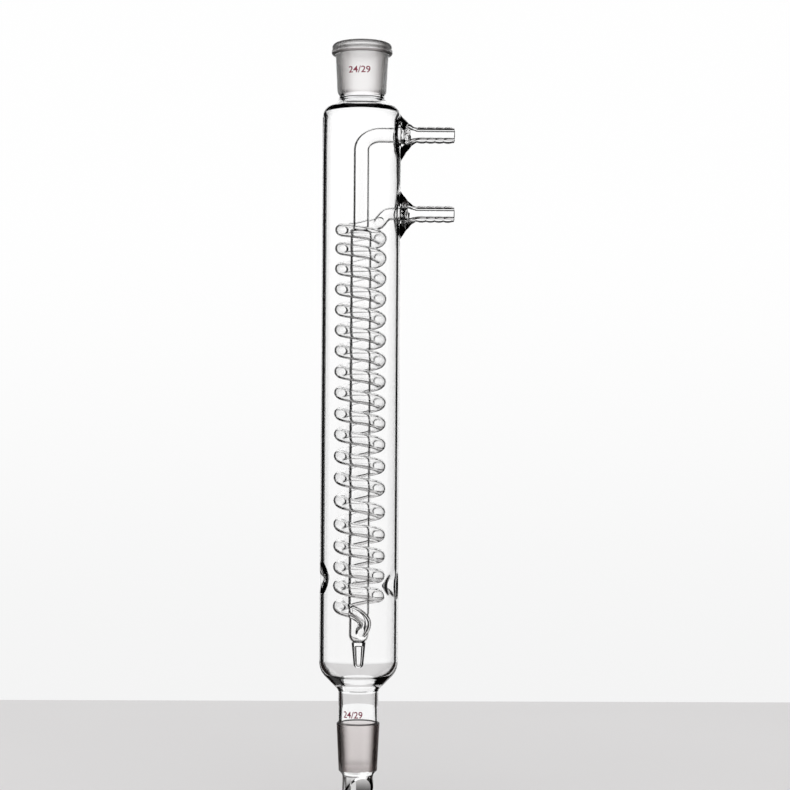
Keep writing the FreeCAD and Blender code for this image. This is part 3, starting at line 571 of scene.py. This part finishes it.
def stem_tree():
    """A straight stem along X with ridges before its plain end, and a rounded end."""
    tree, given, result = new_tree("ridged_stem", [
        ("Start", "NodeSocketFloat", 0.02),
        ("End", "NodeSocketFloat", 0.05),
        ("Radius", "NodeSocketFloat", 0.004),
        ("Ridge Height", "NodeSocketFloat", 0.0005),
        ("Ridge Pitch", "NodeSocketFloat", 0.005),
        ("Ridges", "NodeSocketInt", 4),
        ("Land", "NodeSocketFloat", 0.001),
        ("Polish", "NodeSocketFloat", 0.0004),
        ("Around", "NodeSocketInt", 40),
        ("Along", "NodeSocketInt", 100),
        ("Material", "NodeSocketMaterial", None),
    ])

    def maths(operation, *values):
        node = tree.nodes.new("ShaderNodeMath")
        node.operation = operation
        for socket, value in zip(node.inputs, values):
            if isinstance(value, (int, float)):
                socket.default_value = value
            else:
                tree.links.new(value, socket)
        return node.outputs[0]

    def point(value):
        node = tree.nodes.new("ShaderNodeCombineXYZ")
        tree.links.new(value, node.inputs["X"])
        return node.outputs[0]

    start, end, radius = (given.outputs[name] for name in ("Start", "End", "Radius"))
    line = tree.nodes.new("GeometryNodeCurvePrimitiveLine")
    tree.links.new(point(start), line.inputs["Start"])
    tree.links.new(point(end), line.inputs["End"])
    divided = tree.nodes.new("GeometryNodeResampleCurve")
    tree.links.new(line.outputs["Curve"], divided.inputs["Curve"])
    tree.links.new(given.outputs["Along"], divided.inputs["Count"])

    where = tree.nodes.new("GeometryNodeInputPosition")
    parts = tree.nodes.new("ShaderNodeSeparateXYZ")
    tree.links.new(where.outputs[0], parts.inputs[0])
    left = maths("SUBTRACT", end, parts.outputs["X"])
    into = maths("DIVIDE", maths("SUBTRACT", left, given.outputs["Land"]), given.outputs["Ridge Pitch"])
    on_ridges = maths("MULTIPLY", maths("GREATER_THAN", into, 0.0),
                      maths("LESS_THAN", into, given.outputs["Ridges"]))
    crest = maths("SINE", maths("MULTIPLY", maths("FRACT", into), math.pi))
    ridge = maths("MULTIPLY", maths("MULTIPLY", crest, given.outputs["Ridge Height"]), on_ridges)
    short = maths("MAXIMUM", maths("SUBTRACT", given.outputs["Polish"], left), 0.0)
    squared = maths("DIVIDE", maths("MULTIPLY", short, short), given.outputs["Polish"])
    size = maths("SUBTRACT", maths("ADD", radius, ridge), squared)

    circle = tree.nodes.new("GeometryNodeCurvePrimitiveCircle")
    circle.inputs["Radius"].default_value = 1.0
    tree.links.new(given.outputs["Around"], circle.inputs["Resolution"])
    sweep = tree.nodes.new("GeometryNodeCurveToMesh")
    sweep.inputs["Fill Caps"].default_value = True
    tree.links.new(divided.outputs["Curve"], sweep.inputs["Curve"])
    tree.links.new(size, sweep.inputs["Scale"])
    tree.links.new(circle.outputs["Curve"], sweep.inputs["Profile Curve"])
    finish_tree(tree, given, result, sweep.outputs["Mesh"])
    return tree


stems = stem_tree()


def ridged_stem(name, height):
    """One connector's stem, at its height on the jacket."""
    base = placed(name + "_base", bpy.data.meshes.new(name + "_base"))
    stem = grown(name, base, stems, **{
        "Start": STEM_START * MM, "End": STEM_END * MM, "Radius": STEM_RADIUS * MM,
        "Ridge Height": RIDGE_HEIGHT * MM, "Ridge Pitch": RIDGE_PITCH * MM, "Ridges": RIDGES,
        "Land": RIDGE_LAND * MM, "Polish": END_POLISH * MM, "Around": 44, "Along": 84})
    stem.data.transform(Matrix.Translation((0, 0, height * MM)))
    bpy.data.objects.remove(base)
    return stem


upper_stem = ridged_stem("upper_stem", UPPER_ARM)
lower_stem = ridged_stem("lower_stem", LOWER_ARM)
print(f"a stem has {len(upper_stem.data.polygons)} faces and is "
      f"{2000 * max(v.co.y for v in upper_stem.data.vertices):.2f} mm across its ridges")

# %% [markdown]
# Where a connector is sealed on, the jacket's glass is drawn out into a flared root with a pointed foot, a little
# rippled by the flame. Node trees are no help with its saddle on the round jacket, so its points are reckoned.
# Behind it the tube from inside is sealed into the same place, with a ring of space round it.
# The water way widens in the root before it meets the inner tube.

# %% Flared roots, ring spaces and water ways
FLARE_END, FLARE_SEAT, POINTED, RIPPLE = 31.0, 20.9, 1.2, 0.2
RING_START, RING_END, WAY_START, WATER_BORE, WAY_END = 17.5, 21.2, 23.2, 2.0, 53.0


def flared_root(name, height, up, down, side, power):
    """Rings that grow from the stem to a saddle on the jacket: up, down and side are the reach of its foot."""
    columns, flare_rings, seat_rings = 72, 20, 8
    angles = np.linspace(0, 2 * math.pi, columns, endpoint=False)
    tall = np.where(np.sin(angles) > 0, up, down)
    foot = (abs(np.cos(angles) / side) ** POINTED + abs(np.sin(angles) / tall) ** POINTED) ** (-1 / POINTED)
    aside = foot * np.cos(angles)
    points = [(FLARE_SEAT, 0, height)]
    for share in np.linspace(0, 1, seat_rings + 1)[1:]:
        for angle, reach in zip(angles, foot * share):
            across = reach * math.cos(angle)
            points.append((math.sqrt(FLARE_SEAT ** 2 - across ** 2), across, height + reach * math.sin(angle)))
    wall = np.sqrt(JACKET_OUTER ** 2 - aside ** 2) - 0.05
    for share in np.linspace(1, 0, flare_rings + 1):
        reach = STEM_RADIUS + (foot - STEM_RADIUS) * share ** power
        reach += RIPPLE * math.sin(math.pi * share) * np.sin(19 * share + 1.3 * np.sin(angles))
        along = FLARE_END - (FLARE_END - wall) * share
        points += [(x, r * math.cos(a), height + r * math.sin(a)) for x, r, a in zip(along, reach, angles)]
    points.append((FLARE_END, 0, height))
    faces = []
    last = 1 + (seat_rings + flare_rings) * columns
    for column in range(columns):
        following = (column + 1) % columns
        faces.append((0, 1 + following, 1 + column))
        faces.append((last + column, last + following, len(points) - 1))
        for low in range(1, last, columns):
            high = low + columns
            faces.append((low + column, low + following, high + following, high + column))
    return make_object(name, points, faces)


def ring_space(name, height, tube, wide):
    """The funnel of space round an inner tube where it leaves the jacket."""
    outline = [(0, RING_START), (wide, RING_START), (wide - 1.0, 19.3),
               (tube + 1.0, 20.8), (tube + 0.2, RING_END), (0, RING_END)]
    return turned(name, outline, 48, along_x=True, height=height)


def water_way(name, height, inner):
    """The hollow of a connector: the stem's bore, wider in the root, down to the inner tube's bore."""
    outline = [(0, WAY_START), (inner, WAY_START)] + rounded([
        (inner, 24.6, 0), (3.6, 25.8, 1.0), (3.3, 27.0, 2.0),
        (WATER_BORE, FLARE_END, 6.0), (WATER_BORE, WAY_END, 0)])[1:]
    return turned(name, outline + [(0, WAY_END)], 36, along_x=True, height=height)


upper_root = flared_root("upper_root", UPPER_ARM, 11.4, 15.2, 12.5, 1.5)
lower_root = flared_root("lower_root", LOWER_ARM, 13.0, 14.2, 9.0, 1.5)
upper_ring = ring_space("upper_ring", UPPER_ARM, RETURN_TUBE, 6.8)
lower_ring = ring_space("lower_ring", LOWER_ARM, COIL_TUBE, 5.8)
upper_way = water_way("upper_way", UPPER_ARM, RETURN_BORE)
lower_way = water_way("lower_way", LOWER_ARM, COIL_BORE)

# %% [markdown]
# ## Sealing it into one
#
# Light sees a boundary wherever two overlapping solids meet, and real glass has none there. So the pieces are
# fused with Boolean modifiers, in the order of the work: join the outer glass, hollow its seals, hang the
# inner glass in it, and open the water way. The Manifold solver needs closed pieces, which all of these are.

# %% Fuse the pieces and take the hollows away
def sealed(name, base, steps):
    """Apply Boolean steps (operation, piece) to a base, keep the result as a mesh and remove the pieces."""
    for operation, piece in steps:
        modifier = base.modifiers.new(piece.name, "BOOLEAN")
        modifier.operation = operation
        modifier.solver = "MANIFOLD"
        modifier.object = piece
    mesh = worked_mesh(base)
    mesh.name = name
    result = placed(name, mesh)
    for piece in [base] + [piece for _, piece in steps]:
        bpy.data.objects.remove(piece)
    return result


work_order = (
    ("DIFFERENCE", [tip_wedge]),
    ("UNION", [upper_root, lower_root, upper_stem, lower_stem]),
    ("DIFFERENCE", [upper_ring, lower_ring]),
    ("UNION", [return_tube, core_tube, drip_rod, coil_tube]),
    ("DIFFERENCE", [return_bore, core_space, coil_bore, bend_bore, drip_hollow, upper_way, lower_way]),
)
glass = sealed("condenser_glass", wall_glass, [
    (operation, piece) for operation, pieces in work_order for piece in pieces])
glass.data.materials.clear()
print(f"glass: {len(glass.data.polygons)} faces, {len(glass.data.vertices)} points")


# %% [markdown]
# The ground zones are the cone's outside, with the narrow ledge above it, and the socket's inside. A third zone
# is a band at the foot of the beaded rim, which takes painted shade. All are told apart by where a face lies, so
# that they can take finishes of their own. Sharp edges stay only where faces meet at more than 40 degrees.

# %% Clean the mesh, mark its zones and smooth it
# The last zone is a band of painted shade at the bead's foot, and the last size below is its height.
CLEAR, CONE, SOCKET, SEAM_PAINTED_SHADE = range(4)
SLIVER, SHARP_ANGLE, SEAM_PAINTED_SHADE_HEIGHT = 2e-6, 40, 1.2


def clean_glass(thing):
    """Merge slivers, triangulate and smooth, and give each zone a material slot of its own."""
    shell = bmesh.new()
    shell.from_mesh(thing.data)
    bmesh.ops.dissolve_degenerate(shell, dist=SLIVER, edges=shell.edges)
    bmesh.ops.triangulate(shell, faces=shell.faces)
    ground = 0
    for face in shell.faces:
        middle = face.calc_center_median() / MM
        radius = math.hypot(middle.x, middle.y)
        outwards = face.normal.x * middle.x + face.normal.y * middle.y
        cone = -CONE_LENGTH < middle.z < 0 and radius > CONE_SMALL - 0.2 and outwards > 0
        socket = socket_bottom < middle.z < socket_top - 0.1 and radius < JOINT_RADIUS + 0.7 and outwards < 0
        ledge = 0 < middle.z < LEDGE_HEIGHT - 0.01 and radius > LOWER_NECK_OUTER + 0.05
        # The band at the bead's foot, which gets painted shade.
        seam_painted_shade = bead_bottom < middle.z < bead_bottom + SEAM_PAINTED_SHADE_HEIGHT and radius > SOCKET_WIDE - 0.1
        face.material_index = CONE if cone else SOCKET if socket or ledge else SEAM_PAINTED_SHADE if seam_painted_shade else CLEAR
        face.smooth = True
        ground += cone or socket
    shell.to_mesh(thing.data)
    shell.free()
    thing.data.set_sharp_from_angle(angle=math.radians(SHARP_ANGLE))
    return ground


ground_faces = clean_glass(glass)
print(f"{len(glass.data.polygons)} triangles, {ground_faces} of them ground")

# %% [markdown]
# ## Shader maths
#
# A small class wraps a socket, so that shader maths reads as Python. Any other node comes from `node`.

# %% A socket that can be reckoned with
class Wire:
    """An output socket. Operators on it add Math nodes to its tree."""

    def __init__(self, tree, socket):
        self.tree, self.socket = tree, socket

    def node(self, kind, settings=(), values=(), output=0):
        """Add a node of a kind: its settings first, then the values or links of its sockets."""
        added = self.tree.nodes.new(kind)
        for name, value in dict(settings).items():
            setattr(added, name, value)
        for name, value in dict(values).items():
            if isinstance(value, Wire):
                self.tree.links.new(value.socket, added.inputs[name])
            else:
                added.inputs[name].default_value = value
        return Wire(self.tree, added.outputs[output])

    def maths(self, operation, *values):
        return self.node("ShaderNodeMath", {"operation": operation}, dict(enumerate(values)))

    def __add__(self, other):
        return self.maths("ADD", self, other)

    def __rsub__(self, other):
        return self.maths("SUBTRACT", other, self)

    def __mul__(self, other):
        return self.maths("MULTIPLY", self, other)

    def __truediv__(self, other):
        return self.maths("DIVIDE", self, other)

    def ease(self, low, high, start=0.0, end=1.0):
        """A soft step: start below low, end above high, and smooth between them."""
        return self.node("ShaderNodeMapRange", {"interpolation_type": "SMOOTHSTEP"},
                         {"Value": self, "From Min": low, "From Max": high, "To Min": start, "To Max": end})

    def part(self, name):
        """One part of a vector: X, Y or Z."""
        return self.node("ShaderNodeSeparateXYZ", (), {0: self}, name)


def new_material(name):
    """A node material with only its output, and a Wire to start from."""
    material = bpy.data.materials.new(name)
    material.use_nodes = True
    tree = material.node_tree
    tree.nodes.clear()
    end = tree.nodes.new("ShaderNodeOutputMaterial")
    return material, Wire(tree, None), end


# %% [markdown]
# ## Clear glass, ground glass with painted shade, and print
#
# Clear borosilicate refracts by 1.474. Drawn tube has faint streaks along its length, and worked places are a
# little wavy: a bump of stretched noise, far too shallow to see but enough to break a perfect edge.
# A weak specular tint takes reflection away, so that places with many faces one behind another stay clear.

# %% Clear glass
BOROSILICATE_IOR = 1.474


def clear_glass():
    material, wire, end = new_material("clear_glass")
    place = wire.node("ShaderNodeTexCoord", output="Object")
    drawn = wire.node("ShaderNodeMapping", (), {"Vector": place, "Scale": (90.0, 90.0, 9.0)})
    streaks = wire.node("ShaderNodeTexNoise", (), {"Vector": drawn, "Scale": 1.0, "Detail": 1.5, "Roughness": 0.4})
    bump = wire.node("ShaderNodeBump", (), {"Strength": 0.2, "Distance": 0.00002, "Height": streaks})
    tint = wire.node("ShaderNodeMix", {"data_type": "RGBA"}, {
        0: streaks, 6: (0.997, 0.996, 0.996, 1), 7: (1.0, 1.0, 1.0, 1)}, 2)
    surface = wire.node("ShaderNodeBsdfPrincipled", (), {
        "Base Color": tint, "Roughness": 0.0, "IOR": BOROSILICATE_IOR, "Transmission Weight": 1.0,
        "Normal": bump, "Specular Tint": (0.2, 0.2, 0.2, 1)})
    wire.tree.links.new(surface.socket, end.inputs["Surface"])
    return material


# %% [markdown]
# Ground glass is cut with abrasive: fine pits scatter the light but still let most of it through. Its colour
# darkens where the surface turns away from the view, read by Layer Weight's Facing: painted shade that draws
# the dark edges. The cone also has painted shade at its small end. The band under the beaded rim is painted
# shade, a dark colour all over, because the bead's shape alone doesn't draw that line.

# %% Ground glass with painted shade
NOWHERE = (0.5, 0.6)


def ground_glass_with_painted_shade(name, middle, edge, smoothest, roughest, painted_shade_end):
    """Glass with its own colour in the middle and a painted shade colour at its edges, where it turns from the
    view, and painted shade between the heights given last.
    """
    material, wire, end = new_material(name)
    place = wire.node("ShaderNodeTexCoord", output="Object")
    grain = wire.node("ShaderNodeTexNoise", (), {
        "Vector": place, "Scale": 2600.0, "Detail": 2.0, "Roughness": 0.6})
    bump = wire.node("ShaderNodeBump", (), {"Strength": 0.35, "Distance": 0.00008, "Height": grain})
    # Painted shade: the colour goes to the edge colour where the surface turns from the view.
    painted_edge_shade = wire.node("ShaderNodeLayerWeight", output="Facing").ease(0.05, 0.36)
    # Painted shade also between the two given heights, at the cone's small end.
    painted_edge_shade = painted_edge_shade.maths("MAXIMUM", painted_edge_shade, place.part("Z").ease(*painted_shade_end, 0.0, 0.75))
    colour = wire.node("ShaderNodeMix", {"data_type": "RGBA"}, {0: painted_edge_shade, 6: middle, 7: edge}, 2)
    surface = wire.node("ShaderNodeBsdfPrincipled", (), {
        "Base Color": colour, "Roughness": grain.ease(0.3, 0.7, smoothest, roughest),
        "IOR": BOROSILICATE_IOR, "Transmission Weight": 1.0, "Normal": bump})
    wire.tree.links.new(surface.socket, end.inputs["Surface"])
    return material


# %% Red enamel
def red_enamel():
    material, wire, end = new_material("red_enamel")
    place = wire.node("ShaderNodeTexCoord", output="Object")
    wear = wire.node("ShaderNodeTexNoise", (), {"Vector": place, "Scale": 1800.0, "Detail": 3.0})
    colour = wire.node("ShaderNodeMix", {"data_type": "RGBA"}, {
        0: wear.ease(0.35, 0.7), 6: (0.22, 0.018, 0.045, 1), 7: (0.36, 0.06, 0.10, 1)}, 2)
    surface = wire.node("ShaderNodeBsdfPrincipled", (), {"Base Color": colour, "Roughness": 0.55})
    wire.tree.links.new(surface.socket, end.inputs["Surface"])
    return material


clear, enamel = clear_glass(), red_enamel()
# The edge colours of the cone and the socket are painted shade, and so is the cone's darker small end.
ground_cone_with_painted_shade = ground_glass_with_painted_shade(
    "ground_cone_with_painted_shade", (0.99, 0.94, 0.93, 1), (0.12, 0.09, 0.085, 1), 0.2, 0.26, (-0.0205, -0.0255))
ground_socket_with_painted_shade = ground_glass_with_painted_shade(
    "ground_socket_with_painted_shade", (1.0, 0.985, 0.98, 1), (0.62, 0.59, 0.58, 1), 0.4, 0.46, NOWHERE)
# The band at the bead's foot is painted shade: dark colours all over, in place of the dark line.
bead_seam_painted_shade = ground_glass_with_painted_shade(
    "bead_seam_painted_shade", (0.14, 0.125, 0.125, 1), (0.08, 0.07, 0.07, 1), 0.3, 0.4, NOWHERE)
for finish in (clear, ground_cone_with_painted_shade, ground_socket_with_painted_shade, bead_seam_painted_shade):
    glass.data.materials.append(finish)
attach(glass, "root")
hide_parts("condenser")

# %% [markdown]
# ## The red size numbers
#
# Both joints carry their size in fired red enamel: 24 mm at the large end, 29 mm long. The numbers are text made
# into a thin mesh, cut fine enough to bend, and wrapped round the glass.

# %% Printed size numbers
PRINT_OUTER, PRINT_INNER, PRINT_EDGE = 0.07, 0.015, 0.12


def size_print(name, level, height, middle, width, radius_at):
    """The size numbers wrapped round a neck or socket at an azimuth: level is the foot of the figures."""
    text = bpy.data.curves.new(name, "FONT")
    text.body = "24/29"
    text.align_x = "CENTER"
    text.offset = 0.012
    base = placed(name, text)
    mesh = worked_mesh(base)
    bpy.data.objects.remove(base)
    shell = bmesh.new()
    shell.from_mesh(mesh)
    bmesh.ops.remove_doubles(shell, verts=shell.verts, dist=1e-5)
    bmesh.ops.triangulate(shell, faces=shell.faces)
    low = Vector([min(v.co[i] for v in shell.verts) for i in range(3)])
    high = Vector([max(v.co[i] for v in shell.verts) for i in range(3)])
    for _ in range(3):
        long_edges = [e for e in shell.edges if abs(e.verts[0].co.x - e.verts[1].co.x) > PRINT_EDGE]
        bmesh.ops.subdivide_edges(shell, edges=long_edges, cuts=1)
        bmesh.ops.triangulate(shell, faces=shell.faces)
    front = list(shell.faces)
    flat = {v: v.co.copy() for v in shell.verts}
    back = bmesh.ops.duplicate(shell, geom=list(shell.verts) + list(shell.edges) + front)
    pairs = back["vert_map"]
    inner = {pairs[v]: flat[v] for v in flat}
    rims = [e for e in shell.edges if e.is_boundary and e.verts[0] in flat]
    for edge in rims:
        a, b = edge.verts
        shell.faces.new((a, b, pairs[b], pairs[a]))
    for places, lift in ((flat, PRINT_OUTER), (inner, PRINT_INNER)):
        for v, co in places.items():
            along = (co.x - (low.x + high.x) / 2) / (high.x - low.x) * width
            z = level + (co.y - low.y) / (high.y - low.y) * height
            radius = radius_at(z)
            x, y = polar(radius + lift, middle + math.degrees(along / radius))
            v.co = Vector((x, y, z)) * MM
    bmesh.ops.recalc_face_normals(shell, faces=shell.faces)
    shell.to_mesh(mesh)
    shell.free()
    mesh.materials.clear()
    mesh.materials.append(enamel)
    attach(placed(name, mesh), "root")
    print(f"{name}: {len(mesh.polygons)} faces")


def socket_radius(z):
    """The outside of the socket at a height."""
    share = (z - socket_bottom - 0.75) / (bead_bottom - socket_bottom - 0.75)
    return SOCKET_FOOT + (SOCKET_WIDE - SOCKET_FOOT) * share


size_print("socket_size_print", 361.5, 3.7, -96.0, 12.4, socket_radius)
size_print("cone_size_print", 4.0, 3.7, -106.5, 11.2, lambda z: LOWER_NECK_OUTER)

# %% [markdown]
# ## Table, backdrop and light
#
# The condenser is shown in bright field: a white backdrop right behind it, dark at both sides. Glass hardly
# reflects, so it shows by what its edges bend into view. Rays that go nearly straight on find the bright
# backdrop, and rays that the wall turns aside find the dark, which draws the black lines at every edge.
# The world does this job. The camera sees it plain white, and glass sees bright panels with dark between them.
# The first panel serves the main view, and reaches further to the right, where the lines are thin. The other
# three are what glass finds in the views from the sides and the back.

# %% Which ways are bright for glass
PANELS = (  # azimuth, half width, lowest, fully bright from, fully bright to, highest, strength
    (86.0, 23.5, -12.0, -9.0, 40.0, 48.0, 1.02),
    (180.0, 18.0, -40.0, -30.0, 20.0, 30.0, 0.95),
    (142.0, 13.0, -45.0, -38.0, -14.0, -9.0, 0.9),
    (315.0, 17.0, -40.0, -32.0, 2.0, 8.0, 0.9),
)
PANEL_EDGE = 1.0


def sine(degrees):
    return math.sin(math.radians(degrees))


def heading(way):
    """The level direction of a vector, as its two parts of unit length."""
    x, y = way.part("X"), way.part("Y")
    level = (x * x + y * y).maths("SQRT", x * x + y * y)
    return x / level, y / level


def towards(flat, azimuth, half_width):
    """1 for ways within half_width of an azimuth, 0 outside it, with a narrow soft edge."""
    along = flat[0] * sine(azimuth + 90) + flat[1] * sine(azimuth)
    return along.ease(sine(90 - half_width - PANEL_EDGE), sine(90 - half_width + PANEL_EDGE))


def brightest(parts):
    """The largest of several wires."""
    result = parts[0]
    for part in parts[1:]:
        result = result.maths("MAXIMUM", result, part)
    return result


def in_glass(wire):
    """1 for a ray that a glass surface sends, 0 for the camera's own and for soft light."""
    rays = wire.node("ShaderNodeLightPath", output="Is Glossy Ray")
    return brightest([rays, wire.node("ShaderNodeLightPath", output="Is Transmission Ray")])


# %% The world
ROOM, DARK = 0.12, 0.01
AHEAD, ASIDE, BEYOND = 3.0, 14.0, 1.1
BACKDROP_FOOT, BACKDROP_TOP = 0.905, 0.995


def studio():
    world = bpy.data.worlds.new("studio")
    bpy.context.scene.world = world
    world.use_nodes = True
    tree = world.node_tree
    tree.nodes.clear()
    end = tree.nodes.new("ShaderNodeOutputWorld")
    wire = Wire(tree, None)
    way = wire.node("ShaderNodeTexCoord", output="Generated")
    flat, up = heading(way), way.part("Z")
    panels = [towards(flat, azimuth, half) * up.ease(sine(low), sine(low_full)) * up.ease(
        sine(high_full), sine(high), strength, 0.0)
        for azimuth, half, low, low_full, high_full, high, strength in PANELS]
    room = flat[1].ease(-0.35, -0.85, 0.0, ROOM)
    white = up.ease(-0.16, 0.12, BACKDROP_FOOT, BACKDROP_TOP)
    aside = way.part("Y").ease(sine(90 - ASIDE), sine(90 - AHEAD), BEYOND, 1.0)
    seen = brightest(panels + [room]) * white * aside + DARK
    glass_ray = in_glass(wire)
    strength = white * (1 - glass_ray) + seen * glass_ray
    background = wire.node("ShaderNodeBackground", (), {"Color": (1.0, 1.0, 1.0, 1.0), "Strength": strength})
    tree.links.new(background.socket, end.inputs["Surface"])


studio()

# %% [markdown]
# The table is a plain pale slab. Its far edge lies behind the condenser, where the photographer's table meets
# the white backdrop. The camera and soft light see all of it. Glass sees it lit in the panels' directions only,
# by its place on the slab, and dark elsewhere, as if black card lay there. One large soft lamp hangs overhead.

# %% Table and lamp
TABLE_LEVEL, TABLE_FAR = -50.5, 455.0
DARK_FOOT, LIT_BEYOND = 0.04, 0.13


def table_finish():
    material, wire, end = new_material("table_finish")
    place = wire.node("ShaderNodeTexCoord", output="Object")
    cloud = wire.node("ShaderNodeTexNoise", (), {"Vector": place, "Scale": 3.0, "Detail": 2.0})
    colour = wire.node("ShaderNodeMix", {"data_type": "RGBA"}, {
        0: cloud, 6: (0.665, 0.655, 0.655, 1), 7: (0.705, 0.695, 0.695, 1)}, 2)
    surface = wire.node("ShaderNodeBsdfPrincipled", (), {
        "Base Color": colour, "Roughness": 0.9, "Specular IOR Level": 0.1})
    flat = heading(place)
    lobes = [towards(flat, azimuth, half) for azimuth, half, *_ in PANELS]
    x, y = place.part("X"), place.part("Y")
    far = (x * x + y * y).ease(DARK_FOOT ** 2, LIT_BEYOND ** 2)
    lit = brightest([lobes[0] * far, lobes[2] * (1 - far), lobes[1], lobes[3]])
    unlit = wire.node("ShaderNodeEmission", (), {"Color": (1.0, 0.8, 0.76, 1), "Strength": 0.02})
    mixed = wire.node("ShaderNodeMixShader", (), {0: in_glass(wire) * (1 - lit), 1: surface, 2: unlit})
    wire.tree.links.new(mixed.socket, end.inputs["Surface"])
    return material


def make_table():
    near, side, thick = -1500.0, 1800.0, 20.0
    corners = [(-side, near), (side, near), (side, TABLE_FAR), (-side, TABLE_FAR)]
    points = [(x, y, TABLE_LEVEL - drop) for drop in (thick, 0) for x, y in corners]
    sides = [(i, (i + 1) % 4, (i + 1) % 4 + 4, i + 4) for i in range(4)]
    table = make_object("table", points, [(3, 2, 1, 0), (4, 5, 6, 7)] + sides)
    table.data.materials.append(table_finish())


def make_lamp():
    lamp = bpy.data.lights.new("overhead", "AREA")
    lamp.shape, lamp.size, lamp.size_y = "RECTANGLE", 1.6, 1.6
    lamp.energy = 3.0
    placed("overhead", lamp).location = (0.0, -0.3, 2.0)


make_table()
make_lamp()

# %% [markdown]
# ## Camera
#
# The camera stands about a metre away, level with the lower half of the jacket, and is tipped up a little.

# %% Camera
CAMERA_PLACE, CAMERA_TURN, CAMERA_TILT, CAMERA_ROLL = (0.0, -1.066, 0.159), -1.05, 1.29, 0.33


def turned_by(degrees, axis):
    return Matrix.Rotation(math.radians(degrees), 4, axis)


def make_camera():
    camera = bpy.data.cameras.new("camera")
    camera.sensor_width, camera.lens = 36.0, 86.8
    camera.clip_start, camera.clip_end = 0.05, 50.0
    stand = placed("camera", camera)
    turn = turned_by(CAMERA_TURN, "Z") @ turned_by(90 + CAMERA_TILT, "X")
    stand.matrix_world = Matrix.Translation(CAMERA_PLACE) @ turn @ turned_by(CAMERA_ROLL, "Z")
    bpy.context.scene.camera = stand


make_camera()

# %% [markdown]
# Light crosses sixteen glass faces on its way through jacket, coil and core tube, and turns inside the walls, so
# the renderer may follow it through many bounces. The colours are shown as they are, with no film look.

# %% Render settings that belong to the scene
scene = bpy.context.scene
scene.view_settings.view_transform = "Standard"
scene.cycles.max_bounces = scene.cycles.transmission_bounces = 48
scene.cycles.glossy_bounces = 2
